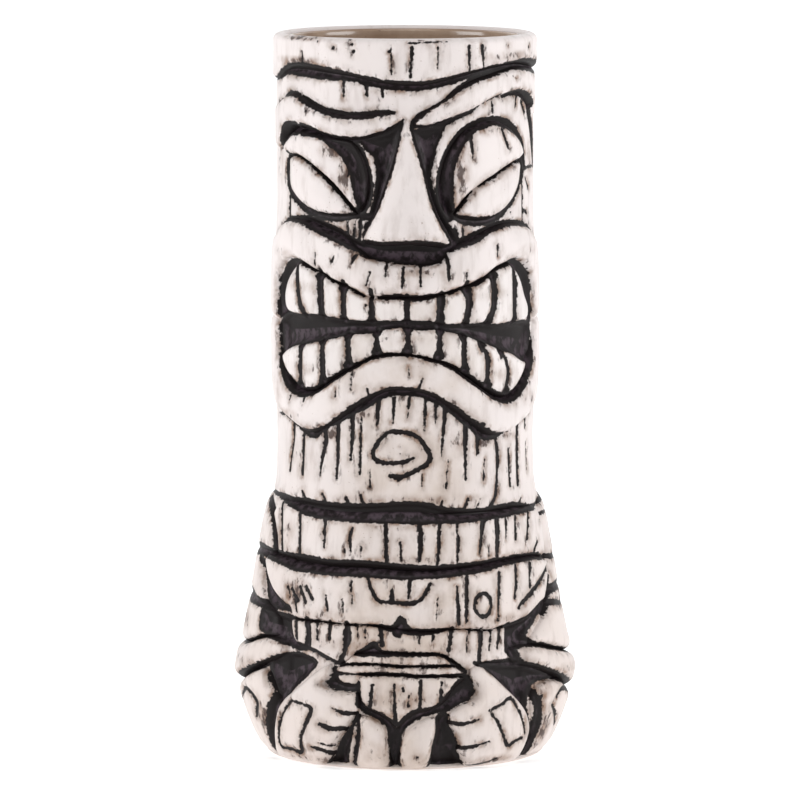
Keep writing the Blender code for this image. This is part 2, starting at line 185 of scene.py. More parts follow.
LEFT_BROW_TOP = [
    (1.5, 157.6, 1), (1.8, 159, 1.3), (2.6, 160.4, 1.5), (4, 161.4, 1.2), (7, 163.2, 0.9),
    (10, 165, 0.9), (13, 167.2, 1.3), (16, 168.9, 1.6), (19, 170, 1.5), (23, 170.9, 1.3),
    (27, 171.7, 1.2), (31, 172.2, 1.2),
]
LEFT_BROW_FOOT = [
    (2, 158.6, 1.2), (5, 158.4, 0.9), (8, 159, 1.2), (10.5, 159.6, 1.8), (13, 160.6, 1.4),
    (16, 161.6, 1.3), (18, 162.5, 1.1), (20, 163.6, 0.45), (23, 164.8, 0.5), (25.6, 165.5, 1),
]
LEFT_BROW_END = [
    (27.2, 165.4, 1.4), (30, 165.8, 1.5), (33, 165.9, 1.7), (36, 165.2, 2), (39, 163.9, 2.4),
    (42, 162.2, 3.2),
]
RIGHT_LID = [
    (-35, 150, 1.2), (-32.5, 150.5, 1), (-30, 150.2, 0.9), (-27, 149.2, 0.8), (-24, 147.6, 0.9),
    (-21, 145.7, 1.2), (-18, 143.3, 1.3), (-15.5, 140.8, 1.3), (-13, 138, 1.4), (-11.6, 136.8, 1.6),
]
LEFT_LID = [
    (33, 149, 1), (30.5, 148.4, 0.9), (27, 147.2, 0.9), (24, 145.8, 1), (21, 144.4, 0.9),
    (19, 143.3, 0.5),
]
NOSE_RIGHT = [
    (-1.2, 156, 0.5), (-3.4, 148.6, 1.6), (-5.5, 142.4, 1.8), (-7.4, 137.6, 2.2), (-9, 134, 1.7),
    (-10.2, 131.4, 1.4),
]
NOSE_LEFT = [
    (1.8, 157, 1), (3.4, 152.5, 1.7), (4.9, 147.5, 1.9), (6.3, 142, 2.4), (7.5, 138.5, 2.7),
    (8.8, 135.6, 2.8), (10.7, 132.5, 3.4), (12.4, 129.8, 3.4),
]
RIGHT_LIP_TOP = [
    (-44, 130.2, 0.3), (-41, 131.6, 0.9), (-38.5, 133, 1.1), (-35.5, 134.2, 1.4), (-32, 134.6, 1.6),
    (-28, 134.6, 2.2), (-25, 134, 3), (-21, 132.8, 3.2), (-17, 131.4, 3.3), (-13.5, 129.6, 3),
    (-10, 128.2, 3),
]
LEFT_LIP_TOP = [
    (9.5, 128.2, 2.6), (13, 129.2, 2.4), (16, 130.2, 2.6), (19, 131.4, 2.2), (22, 132.6, 1.9),
    (25, 133.4, 1.7), (28, 133.8, 1.6), (32, 133.6, 1.6), (36, 133, 1.5), (40, 131.8, 1.5),
    (44, 129.8, 1.6), (49, 128.6, 0.8),
]
RIGHT_GUM = [
    (-20, 121.4, 0.7), (-18.5, 120.3, 1.2), (-16.5, 119.7, 1), (-14, 118.8, 0.6), (-12, 117.8, 1.2),
    (-10, 116.7, 1),
]
LEFT_GUM = [
    (-6.5, 116.3, 0.8), (-4, 116.4, 1.5), (-1, 116.6, 1.6), (0, 116.4, 1.4), (3, 116.2, 1.7),
    (6, 116.6, 1.3), (8.5, 117, 1), (11, 117.6, 1.2), (13.5, 118.4, 1), (16, 119.1, 1.1),
    (18, 119.7, 1.8), (20, 120.6, 1.4), (22, 121.8, 1.4), (24, 123, 1.2), (26.5, 123.6, 1.4),
    (29, 124.2, 1.6),
]
LOWER_GUM = [
    (-37.8, 100.2, 2), (-36.8, 98, 2.2), (-35, 95.8, 2.6), (-32, 93.6, 3.2), (-29, 92.2, 3),
    (-26, 92, 2.6), (-23, 92.8, 2.2), (-20, 94.6, 2), (-17, 96.4, 1.8), (-14, 98.2, 1.2),
    (-11, 99.8, 1.2), (-8, 101.4, 1.2), (-4, 102.2, 1.2), (0, 102.2, 1), (3, 101.8, 0.9), (6, 101, 1.1),
    (9, 100.1, 1.3), (12, 98.6, 1.6), (15, 96.6, 2), (18, 94.6, 2.2), (21, 92.6, 2.4), (24, 91, 2.6),
    (27, 90.4, 2.8), (30, 91, 2.8), (33, 93, 2.8), (35.5, 95.6, 3), (37.5, 98.5, 3.2), (39, 101, 2.5),
]
CHIN_LINE = [
    (-43.5, 88, 0.5), (-40.5, 86.5, 1.1), (-38, 85.7, 1.3), (-34, 84.4, 1.3), (-31, 83.2, 1.3),
    (-28, 82, 2), (-25, 81.6, 2.6), (-23, 82.4, 1.6), (-20, 84, 1), (-18, 85, 1.6), (-15, 86.8, 1.9),
    (-12.5, 88.5, 2.4), (-9.5, 90.2, 2.8), (-7, 91.8, 2.6), (-4, 93, 2.6), (0, 93.2, 2.4),
    (4, 92.6, 2.4), (7, 91.4, 2.4), (9, 90.3, 2), (12, 88.2, 2.4), (15, 85.8, 2.4), (18, 83.8, 2.6),
    (20.5, 82, 3), (23, 81.2, 2.4), (26, 81.4, 1.4), (29.5, 81.7, 0.4),
]
NECK_GROOVE = [
    (-100, 64.6, 3), (-80, 64.4, 2.6), (-64, 64.6, 2.2), (-52, 64.8, 1.6), (-44, 64.8, 1.2),
    (-38, 64.6, 1.8), (-33, 64, 2.6), (-28, 63.4, 3.8), (-22, 62.9, 4.4), (-15, 62.7, 4.6),
    (-8, 62.8, 5), (-2, 63, 5.6), (4, 62.9, 5.6), (9, 62.3, 4.4), (14, 61.9, 3.8), (20, 61.9, 3.2),
    (26, 62.2, 3.4), (31, 62.4, 3.2), (36, 62.2, 2.2), (42, 61.9, 1), (50, 63, 1.4), (62, 64.4, 2.2),
    (80, 64.4, 2.6), (101, 64.6, 3),
]
CHEST_GROOVE = [
    (-70, 48.6, 2.4), (-60, 49.6, 2.8), (-50, 50.4, 3.2), (-44, 50.8, 3.4), (-38, 50.4, 3),
    (-33, 50, 3.4), (-28, 49.4, 4.4), (-24, 49.4, 4.4), (-18, 49, 4), (-12, 49.2, 4.2), (-6, 49, 4.2),
    (0, 48.6, 4), (6, 48.5, 3.4), (12, 48.8, 3.2), (18, 49.2, 3), (24, 49.9, 2.4), (30, 50.2, 2),
    (35, 50.1, 2), (38, 49.8, 2), (41, 49.2, 1.2), (46, 48.8, 1.6), (54, 48.6, 1.8), (62, 48.6, 2),
    (70, 48.6, 2.4),
]
COLLAR_EDGE = [
    (-34, 36.2, 1), (-31, 35.8, 1.2), (-28, 35.6, 1), (-24, 35.4, 0.9), (-20, 35.5, 0.9),
    (-14, 35.3, 0.5), (-10, 35.3, 0.7), (-7, 35.3, 0.6), (-4, 34.7, 1.6), (-1, 34.3, 1.8), (2, 33.9, 2),
    (6, 33.8, 1.6), (9, 34.2, 0.8), (13, 34, 0.4), (17, 33.6, 0.6), (20, 33.3, 0.5), (22, 33.8, 0.5),
    (26, 34.2, 1.2), (30, 35, 1.4), (33, 36.4, 1.8), (36, 38, 1.8), (37.5, 38.7, 1),
]
FRINGE_EDGE = [
    (-27, 29.4, 1.6), (-23, 28.6, 1.3), (-20, 27.6, 1.4), (-17, 26.2, 1.3), (-14.4, 25.2, 1.2),
]
BELT_TOP = [
    (-11, 28, 0.8), (-7, 28.4, 1.6), (-3, 28.4, 1.6), (1, 28.2, 1.3), (5, 28.2, 1), (8, 27.8, 1),
    (10, 26.4, 1.2), (12, 24.6, 1.4), (13.6, 23.4, 1.4),
]
BELT_MIDDLE = [
    (-14.5, 25.2, 1.4), (-11, 25.5, 1), (-7, 25.7, 1), (-2, 25.3, 1), (3, 25.2, 1), (8, 25.2, 1),
    (11, 25, 1),
]
BELT_FOOT = [
    (-15, 23, 1.3), (-11, 23, 0.9), (-7, 23.2, 1.2), (-2, 23.2, 1.1), (3, 22.8, 1.1), (8, 22.7, 1.1),
    (12, 22.6, 1.3), (14, 22, 1.6),
]
RIGHT_CUFF_TOP = [
    (-70, 26.6, 1.2), (-60, 26.6, 1.2), (-50, 26.6, 1.1), (-46, 27.2, 1.2), (-42, 28.2, 1.2),
    (-38, 29.6, 1.3), (-34, 30.3, 1.4), (-30, 29.2, 1.5),
]
RIGHT_CUFF_FOOT = [
    (-70, 15.4, 1.6), (-60, 15.6, 1.8), (-50, 17, 2.2), (-46, 18.4, 2.4), (-42, 20.2, 2.4),
    (-38, 22, 2.2), (-35, 23.6, 1.6), (-32, 25, 1.4),
]
LEFT_CUFF_TOP = [
    (26.6, 28.2, 1.4), (30, 28.7, 1.6), (34, 28.1, 1.4), (38, 27, 1.3), (42, 26, 1.2), (48, 24.6, 1.2),
    (56, 23.6, 1.1), (70, 22.8, 1.2),
]
LEFT_CUFF_FOOT = [
    (28, 23.8, 2.2), (32, 22.6, 2.2), (36, 21, 2), (40, 19.2, 2.2), (44, 17.4, 2.4), (50, 15.2, 2.4),
    (58, 14, 2), (70, 13.6, 1.6),
]
SEAMS = [
    RIM_WAVE, RIGHT_BROW_END, RIGHT_BROW_TOP, RIGHT_BROW_FOOT, LEFT_BROW_TOP, LEFT_BROW_FOOT,
    LEFT_BROW_END, RIGHT_LID, LEFT_LID, NOSE_RIGHT, NOSE_LEFT, RIGHT_LIP_TOP, LEFT_LIP_TOP, RIGHT_GUM,
    LEFT_GUM, LOWER_GUM, CHIN_LINE, NECK_GROOVE, CHEST_GROOVE, COLLAR_EDGE, FRINGE_EDGE, BELT_TOP,
    BELT_MIDDLE, BELT_FOOT, RIGHT_CUFF_TOP, RIGHT_CUFF_FOOT, LEFT_CUFF_TOP, LEFT_CUFF_FOOT,
]

BROW_LINES = [
    [(-41, 151.6, 0.4), (-38.5, 153, 2.2), (-36, 155.5, 4.2), (-33, 157, 4), (-30.6, 157.1, 3.6)],
]
EYE_LINES = [
    # right eye (the mask's own right): socket, lid line, eyeball, side line
    [(-13.5, 154.6, 1.2), (-11.5, 152.5, 1.7), (-10, 149.5, 1.8), (-9.2, 146, 2), (-9.2, 142, 2.4),
     (-10.2, 139, 2.6), (-11.6, 137.2, 2.4)],
    [(-35, 150, 3), (-35.6, 147, 4.2), (-35.6, 144, 4.2), (-34.2, 141.2, 3.4), (-31, 139, 2.6),
     (-27.5, 137.3, 2.4), (-24, 136.2, 2.2), (-20, 135.7, 2.2), (-16, 135.8, 2), (-12.5, 136.3, 1.8),
     (-9, 136.2, 2), (-7.6, 137.6, 1.6)],
    [(-35.6, 142, 0.8), (-35.6, 138, 1.1), (-35.6, 134.6, 1.2)],
    # left eye
    [(11.4, 136, 2.4), (10.2, 139, 3.8), (9.8, 142, 4.4), (9.8, 145, 4.4), (10.3, 148, 4),
     (11.2, 151, 3.6), (12.6, 153.6, 3.4), (14.6, 156, 3.2), (17, 157.8, 2.8), (20, 158.8, 2.8),
     (23, 159.3, 2.2), (26, 159, 2.8), (29, 158, 3), (32, 156.4, 3), (34.6, 154.4, 3), (36.4, 152, 3.2),
     (37.3, 149.8, 2.4), (38, 147, 1.6)],
    [(17.2, 142.2, 0.5), (15.5, 140.8, 1.1), (13.5, 138.5, 1.2), (12, 136.8, 1.2)],
    [(12.2, 136.4, 1.4), (14, 135.4, 2.2), (17, 134.8, 2.6), (20, 134.6, 2.6), (23, 134.9, 2.4),
     (26, 135.9, 2.2), (29, 137.6, 2.2), (32, 140.2, 2.4), (34.2, 143, 3.4), (35.3, 146, 4.2),
     (35.4, 148.6, 3.6)],
    [(36.8, 146.5, 0.9), (36.8, 134.4, 0.9)],
    [(36.5, 146.4, 0.8), (41.5, 146.9, 0.9), (47, 146.6, 0.8)],
    [(38.8, 144.4, 0.8), (41.2, 141.6, 1.2)],
    [(37, 136.6, 0.8), (39.6, 135.6, 1)],
]
LIP_LINES = [
    [(-29, 124.2, 1.2), (-27, 123.7, 1.6), (-24.5, 122.8, 1.2), (-22.8, 122.3, 0.8)],
    [(-44, 85, 0.5), (-41, 85.2, 0.9), (-38, 85.6, 1)],
    [(33.5, 83.2, 0.9), (36, 84.2, 1), (39, 85.2, 1.5), (42, 86.8, 1.5), (45.5, 88, 0.8)],
]
BODY_LINES = [
    # from the neck down the mask's right side, and its mirror-like partner on the left
    [(-50, 63.2, 1.8), (-44, 61.2, 2), (-40, 58.5, 2.2), (-37.5, 55, 2.4), (-36, 51.6, 2.2)],
    [(-44, 49, 2), (-42, 47, 2.2), (-39.4, 44, 2.8), (-36.4, 41, 3), (-33, 38.8, 3), (-29.4, 37.6, 2)],
    [(41.4, 58, 0.5), (44, 59.6, 0.9), (48, 59.8, 0.9), (54, 60.2, 0.7)],
    [(42, 47, 1.4), (39, 45.4, 1.2), (35, 43, 1.4), (31, 40.4, 1.4), (28, 38, 0.8)],
    # under the fringe
    [(15.4, 25.6, 0.8), (17, 25, 1.4), (20, 25, 1.8), (24, 24.6, 2.6), (28, 24.2, 3.2)],
    # apron's edges and the gap between the knees
    [(-10.2, 21, 1), (-10.2, 18, 1.2), (-9.5, 15, 2), (-7, 13.4, 2.2), (-4.5, 12, 2.4), (-3, 10, 2.4),
     (-2.4, 6, 2.6), (-2.2, 2, 2.6), (-2.2, -1, 2.6)],
    # hand and knee outlines
    [(-30.6, 17.6, 2.2), (-32.4, 13, 3), (-34.2, 8.6, 3.2), (-35.6, 4, 3.2), (-36.8, -0.6, 3)],
    [(31.2, 18, 1.6), (32.8, 13.4, 2), (33.8, 9, 2.2), (33.8, 5, 2.2), (32.8, 1.4, 2.2), (31.4, -1, 2)],
    [(-10.2, 12.4, 1.3), (-10.3, 8, 1.6), (-11, 4, 1.7), (-11.9, -0.6, 1.7)],
    # fingers
    [(-15.6, 14.5, 0.5), (-13.4, 13.5, 1.1), (-10.8, 13.3, 1.1)],
    [(-18.6, 10.3, 0.9), (-16, 9.4, 1.3), (-13.2, 9.4, 1.3)],
    [(-21.2, 4.3, 0.9), (-18.6, 3.9, 1.2), (-16.2, 3.1, 1.4)],
    [(-19.4, 5.5, 0.4), (-16, 4.9, 0.6)],
    [(9.6, 11.1, 1), (12.5, 10.8, 1), (15.6, 11.7, 0.5)],
    [(10.8, 4.8, 1.1), (14, 4.8, 1.1), (18.3, 5.9, 0.5)],
    [(13.6, 0.4, 0.9), (17.6, 0.8, 0.9), (21.2, 1.9, 0.5)],
    # upper arms
    [(-70, 37.6, 1.6), (-60, 38.6, 2.8), (-52, 39.2, 3.8), (-46, 38.8, 3.8), (-42, 38.2, 2.5),
     (-38, 37.6, 2), (-35, 36.8, 1.8)],
    [(39, 40, 1.2), (42, 41, 2.2), (46, 41.4, 2.6), (52, 41.2, 2.6), (60, 40, 2), (70, 38.6, 1.4)],
    [(38.6, 37.8, 2.2), (42, 37.8, 1.6), (46, 37, 1.2), (52, 36.4, 1), (60, 36, 0.9)],
    # plain marks on the forearms
    [(-50, 11, 0.8), (-46.4, 13.4, 0.9), (-43, 15.4, 1), (-41.6, 16.2, 1.1), (-39.2, 15.2, 1.2),
     (-37.6, 13.4, 1.2), (-38.2, 11.6, 1.1), (-39.6, 9.4, 1)],
    [(38.8, 14.6, 1.1), (40.4, 16.2, 1.1), (43.6, 15.6, 1), (48, 14, 0.8)],
    [(37.4, 12.6, 0.8), (39.6, 10.4, 1.2), (42.4, 6.8, 1)],
    # plain panels on the backs of the hands
    [(-26, 15.3, 0.8), (-28.8, 11.5, 0.8), (-30.2, 7, 0.8), (-30.4, 3.5, 0.9), (-27, 3.2, 1),
     (-24, 3, 1.1), (-23.6, 6, 0.9), (-22.4, 9, 1), (-21, 12, 1.1), (-20.6, 14.1, 1),
     (-22.4, 14.7, 0.9), (-26, 15.3, 0.8)],
    [(19, 14, 0.9), (21, 14.8, 0.9), (23.6, 16.2, 0.9), (25.6, 13.4, 0.8), (27.4, 10, 0.8),
     (28.4, 6.6, 0.7)],
    [(27.6, 5.8, 0.9), (25, 5, 0.9), (23.2, 4.4, 1), (21, 9, 0.9), (18.2, 13.8, 0.6)],
]
MOTIFS = [
    # swirl on the chin
    [(-3.6, 72, 1.1), (-1.4, 71.8, 1.2), (1, 72.5, 1.2), (3.4, 73.7, 1.2), (5.8, 75.2, 1.3),
     (6.2, 77, 1.3), (4.8, 79.6, 1.3), (3.2, 81.6, 1.2), (1.2, 82.7, 1.2), (-1.4, 82.9, 1.2),
     (-4, 82.9, 1.2), (-6, 81.2, 1.2), (-7.8, 78.6, 1.2), (-8, 76.8, 1.2), (-6.4, 75.5, 1.2),
     (-4, 75.2, 1.2), (-1, 75.4, 1.2), (1, 76, 1.1), (2.5, 76.7, 0.5)],
    [(-1.6, 71.6, 0.6), (-1.7, 70.8, 0.3)],
    # cup on the collar
    [(-8.2, 46.6, 1), (-7.4, 44, 1), (-6.2, 42, 1), (-5, 41.2, 1), (-2, 41.1, 1.1), (1.5, 40.9, 1.2),
     (3.4, 41.8, 1.1), (4.6, 43.6, 1), (5.5, 45.7, 0.8)],
]
# A plain ring on the collar: u, z, half width, half height, stroke
RING = (17.8, 39.8, 2.1, 2.9, 0.95)

# Straight ticks, as u and z at the top, u and z at the bottom, width at the top, width at the bottom
TICKS = [
    # rim band and forehead
    (-3.4, 178.6, -3.3, 171.4, 0.45, 0.5), (1.7, 178, 1.2, 170.6, 0.9, 0.9),
    (8, 178, 7.9, 172.8, 0.6, 0.5), (16, 178, 16.2, 172.2, 0.8, 0.8), (19.7, 178, 20.3, 173, 0.9, 0.6),
    (-28.6, 176.2, -28.4, 173.6, 0.8, 0.9), (0.6, 179, 10.2, 179.3, 0.6, 0.3),
    (-15.9, 170, -15.8, 165.3, 1, 0.8), (-9.8, 170, -9.6, 165.6, 0.8, 0.6),
    (-5.7, 168.5, -5.6, 165.6, 0.8, 0.6), (7.9, 168, 8.2, 166.8, 0.6, 0.4),
    # round the eyes
    (-12.9, 152.6, -13.9, 146.2, 1.1, 0.4), (23.6, 164.8, 23.8, 161.4, 0.7, 0.8),
    (33.2, 164.4, 32.8, 162, 0.9, 0.6), (36, 163.4, 38.2, 160.3, 1.2, 0.9),
    (29.6, 170.2, 31, 169.3, 0.6, 0.4), (16.2, 156.2, 17, 149.8, 1.2, 0.4),
    (25.8, 157.2, 28, 152.6, 0.8, 0.8),
    # scratches between nose, eye and lip
    (-14.8, 134.6, -14.6, 130.6, 0.7, 0.7), (-12.7, 135.2, -12.8, 130.5, 0.6, 0.7),
    (-11.2, 135.8, -11.5, 130, 1, 1), (-9.7, 134.6, -10, 130.6, 0.7, 0.5),
    (14.7, 133.6, 14.9, 130.4, 0.6, 0.7), (12.6, 134, 13.2, 130.6, 0.5, 0.9),
    # lips
    (-4.3, 124.8, -4.5, 121.5, 0.7, 0.5), (-0.4, 124.4, -0.6, 119.2, 0.6, 0.9),
    (3.6, 124.2, 3.5, 119.3, 0.8, 0.6), (10, 128, 10.2, 120.9, 0.9, 0.9),
    (-22.5, 126.8, -22.8, 123.8, 0.5, 0.6), (-17.2, 126.4, -18, 124.2, 0.6, 0.4),
    (-11.8, 126.6, -12.7, 124.3, 1, 0.5), (-8.1, 122.7, -9, 119.5, 0.6, 0.8),
    (23.3, 128.7, 23.5, 125.9, 0.6, 0.6), (14.6, 122.3, 14.7, 120.8, 0.5, 0.5),
    (-16.7, 93.6, -16.9, 91.6, 0.5, 0.7), (-12.6, 98.4, -12.7, 93.4, 0.5, 0.5),
    (0.8, 99.3, 0.9, 97.2, 0.4, 0.4), (4, 96.4, 3, 93.6, 0.4, 0.7), (-8.8, 93.8, -8.4, 91.4, 0.5, 0.8),
    (-31.4, 90.6, -32, 89.4, 0.6, 0.4), (-26.4, 90.4, -26.8, 89, 0.6, 0.4),
    # gaps between the lower teeth, and the outer upper ones
    (-28.2, 103, -28.5, 95.6, 1.4, 1.6), (-21, 105.6, -20.9, 94.6, 1.5, 1.8),
    (-14, 107, -13.7, 98.6, 1.6, 1.9), (-6.8, 108.4, -6.6, 101.8, 1.4, 1.4),
    (0.7, 109, 0.6, 102.2, 1.5, 1.5), (8.4, 108, 8, 100.8, 1.6, 1.5),
    (14.3, 105.6, 14.5, 97.6, 1.5, 1.5), (-15, 120, -15.1, 110.8, 1.3, 1.7),
    (-8, 118.2, -7.9, 110.4, 1.1, 1.9), (0.4, 116.8, 0.4, 110.2, 1.5, 1.6),
    (8.6, 117, 8.2, 109.6, 2.1, 2.2),
    # chin grain
    (-29, 82, -29.6, 71, 1, 1.2), (-17.3, 85.2, -17.9, 70.8, 1.5, 0.9),
    (-13.2, 87.5, -13.9, 75.8, 1.5, 0.7), (-11, 86.4, -11.5, 72.3, 0.8, 0.7),
    (-8.8, 72.8, -8.7, 69.2, 0.4, 0.5), (-6.5, 91.5, -7, 84.4, 1.3, 0.7),
    (-2.7, 91.5, -3.1, 85.2, 1, 0.6), (1, 91.5, 0.5, 86.4, 1, 0.5), (5, 91, 4.8, 83, 0.9, 0.6),
    (7.6, 90, 7.6, 85, 1, 0.6), (10.1, 89, 9.1, 76.8, 1.5, 0.5), (10.9, 76, 10.2, 69, 0.5, 0.6),
    (4.2, 72.3, 4.2, 69.6, 0.5, 0.4), (15.5, 86, 15.6, 70.8, 1.7, 0.7), (19.3, 84, 19, 76.8, 1.8, 0.9),
    (21.3, 75.6, 20.9, 70, 0.6, 0.7), (30, 77.4, 30.4, 68, 0.9, 1), (34, 83.4, 34, 68, 1.3, 1.2),
    (38.6, 84.8, 38.8, 82, 1.3, 1.1), (39.5, 78, 39.9, 71, 0.7, 0.8),
    # flicks along the neck groove
    (-29.2, 66.7, -27.8, 64.8, 0.9, 1.1), (-22.1, 66.8, -20.8, 64.8, 0.9, 1.1),
    (-15, 66.3, -14.2, 64.6, 0.9, 1.1), (-11.1, 67, -10.2, 64.6, 0.9, 1.1),
    (9.2, 65.6, 8.4, 63.4, 0.8, 1), (16.1, 66, 14.8, 63.2, 0.8, 1.1), (19.4, 65.2, 18, 63, 0.4, 0.5),
    (34.9, 64.7, 33.2, 63.4, 0.4, 0.5),
    # neck band
    (-28.3, 61.4, -27.1, 51.2, 1, 1), (-20.1, 61, -19.8, 53.8, 1.3, 0.6),
    (-10.3, 54.6, -10.2, 52, 0.5, 0.4), (-14.3, 54.2, -14.1, 52.2, 0.4, 0.4),
    (-4.5, 60.4, -4.3, 51.2, 1.2, 0.9), (-1.1, 55.8, -0.9, 51.4, 0.6, 0.7),
    (8.1, 60.4, 7.4, 50.2, 0.9, 0.9), (26.6, 60.6, 26.2, 55.3, 0.9, 0.6),
    (30.1, 60.6, 29.4, 54.8, 0.9, 0.7), (20.6, 53.6, 20.4, 51.6, 0.3, 0.5),
    (36.2, 51.4, 38.4, 53.6, 1.1, 0.5),
    # collar
    (-28.4, 42.8, -26.1, 40.2, 1, 1.1), (-25.7, 43.6, -23.8, 40, 1, 1),
    (-23.9, 43.9, -21.8, 40.8, 1, 1), (-27.1, 40, -26.3, 37.2, 0.7, 0.6),
    (-29.6, 43.2, -28.8, 40.6, 0.5, 0.6), (-18.3, 42.2, -17.7, 38.4, 0.6, 0.6),
    (-14.1, 41.5, -13.9, 38, 0.5, 0.5), (-12.2, 45.8, -11.7, 40.5, 0.9, 0.5),
    (7.2, 42.2, 6.7, 36.4, 0.5, 0.3), (11.6, 44.8, 11.8, 35.6, 0.6, 1.1), (14, 47, 13.6, 35.8, 1, 1),
    (22.7, 47.4, 21.6, 35.6, 1, 0.7), (32.9, 48.6, 32, 42.8, 1.1, 0.7),
    (-2.9, 45.2, -2.8, 41.4, 0.4, 1.3), (1, 46.6, 0.7, 42.3, 0.9, 0.6),
    # fringe
    (-29.2, 35.2, -28.8, 31, 0.8, 0.8), (-26.8, 35.6, -26.3, 30.6, 1, 1),
    (-20.5, 35.6, -20.2, 31, 0.9, 0.6), (-17, 35.9, -17.1, 31.4, 0.9, 0.7),
    (-10.5, 35.4, -10.4, 32.4, 0.5, 0.4), (-8.8, 34.8, -8.7, 32.2, 0.5, 0.5),
    (-5.3, 35.2, -5, 30.3, 1.4, 1), (3, 33.8, 3.1, 31.1, 0.9, 0.6), (6.4, 33.9, 5.8, 31, 0.9, 0.6),
    (10.3, 34.4, 9.4, 28.9, 1.2, 1), (17.2, 33.6, 16.6, 25.8, 1.2, 1),
    (19.8, 33.4, 19.2, 28.4, 0.7, 0.6), (22.3, 33.8, 21.4, 28.8, 0.9, 0.8),
    (24.7, 34.2, 24.4, 28, 1.6, 2),
    # apron
    (-7.1, 20.6, -7.6, 15.4, 0.7, 1.3), (-2.3, 20.8, -2.1, 10.6, 0.6, 1),
    (3.4, 21.8, 3.2, 14.6, 0.8, 0.9), (7.9, 21.2, 7.8, 15.6, 0.8, 1), (0.8, 18, 0.6, 15.2, 0.5, 0.7),
    (-0.6, 19.8, -0.4, 19.2, 0.9, 0.8),
]

# Bent ticks and gaps that need a third point or more
BENT_TICKS = [
    [(-29.6, 124, 1.2), (-29.4, 119, 1.4), (-28.8, 115, 1.5), (-27.2, 111.2, 1.6)],
    [(-21.6, 122.4, 1.9), (-21.6, 117, 2.2), (-21.1, 111.2, 1.8)],
    [(15, 119.8, 1.4), (15.8, 115.2, 2), (14.8, 109.8, 1.4)],
    [(22.6, 122, 1.8), (23, 116, 2.1), (22.6, 112.6, 1.8), (21, 109.6, 1.6)],
    [(29.8, 124, 1.2), (30.3, 117, 2), (30.2, 109.8, 1.7)],
    [(19.4, 103.8, 1), (20.9, 100.6, 1.5), (21, 97, 1.6), (20.8, 93.6, 1.5)],
    [(25.6, 102, 0.8), (27.2, 99.2, 1.3), (27.8, 96.4, 1.4), (27.2, 92.6, 1.7)],
    [(-33.2, 83.4, 1.1), (-33.7, 79, 1), (-35, 74.4, 0.9), (-35.5, 71.4, 0.9)],
    [(-21.6, 83.2, 1.4), (-21.2, 80, 1.5), (-22.4, 75.6, 1), (-23.2, 71, 0.6)],
    [(25, 81, 1.3), (25.6, 77, 1.3), (25.6, 72, 1.2), (25, 68, 1.1), (24.2, 65.6, 0.9),
     (22.6, 63.4, 1.4)],
    [(-36.2, 63, 1.1), (-35, 58.5, 1), (-34, 54.5, 0.9), (-33.2, 51.4, 0.9)],
    [(-12.5, 59.2, 0.5), (-13.1, 57, 1.1), (-12.7, 52.6, 0.6)],
    [(3.2, 60.4, 1), (3.6, 56.4, 1.4), (3.2, 51.2, 0.7)],
    [(12.4, 60.4, 0.9), (12.3, 58, 0.5), (12.6, 56.4, 0.9), (12.1, 50.8, 0.6)],
    [(19.3, 60.2, 1.5), (18.7, 56.6, 1), (17.8, 52.3, 0.7)],
    [(23.5, 60.8, 1.4), (23.4, 56, 1.6), (22.6, 51.4, 0.9)],
    [(35.6, 61, 0.9), (34.2, 56.4, 1), (32.7, 53.2, 0.4)],
    [(28.1, 48.6, 1), (27.8, 44.6, 0.9), (27, 40.7, 0.7)],
    [(-23.4, 35.4, 2.2), (-22.6, 32.4, 1.5), (-22.9, 29.4, 2)],
    [(-13, 35.8, 1.2), (-12.8, 32.2, 2.1), (-13.2, 29.4, 1.3), (-14.4, 26, 1.4)],
    [(14.5, 34, 0.7), (13.7, 31.4, 0.4), (13.6, 28.4, 0.5)],
    [(-0.8, 91.6, 0.3), (-0.8, 91, 0.2)],
]

# Ends of the gaps between teeth, where the corners of the teeth are round, as (u, z, way into the gap)
TOOTH_CORNERS = [
    (-27.2, 110.8, 1), (-21.1, 110.8, 1), (-15.1, 110.4, 1), (-7.9, 110.2, 1), (0.4, 110.2, 1),
    (8.2, 109.4, 1), (14.8, 109.4, 1), (21.2, 109.4, 1), (30.2, 109.2, 1), (-28.2, 103.6, -1),
    (-21, 105.4, -1), (-14, 107, -1), (-6.8, 108, -1), (0.7, 108.6, -1), (8.4, 108.2, -1),
    (14.2, 106.8, -1), (19.4, 104.4, -1), (25.4, 102.4, -1), (-28.5, 93.6, 1), (-20.9, 95.2, 1),
    (-13.7, 99.6, 1), (-6.6, 102.9, 1), (0.6, 103.4, 1), (8, 101.8, 1), (14.5, 98.2, 1),
    (20.9, 94.2, 1), (27.4, 92, 1), (-21.6, 121, -1), (-15, 118.6, -1), (15, 118, -1), (22.6, 121, -1),
]
CORNER_REACH = 1.8

# Round spots, as (u, z, diameter)
SPOTS = [
    (-18.3, 177.6, 1.1), (-23.1, 179, 0.7), (-14, 179.7, 0.9), (-13.1, 178.6, 0.8), (-12.8, 176.8, 1),
    (-3.9, 176.9, 1.2), (-3.5, 178.5, 0.7), (28.5, 177.7, 0.5), (38.6, 176.8, 0.9), (-26.4, 161.7, 0.7),
    (30.7, 136.3, 0.6), (-9.4, 114.3, 0.8), (-1.2, 79.3, 0.45), (-1.3, 77.5, 0.45), (2.6, 3, 0.6),
    (33.4, 15.2, 1.2), (33.4, 11.8, 0.8),
]
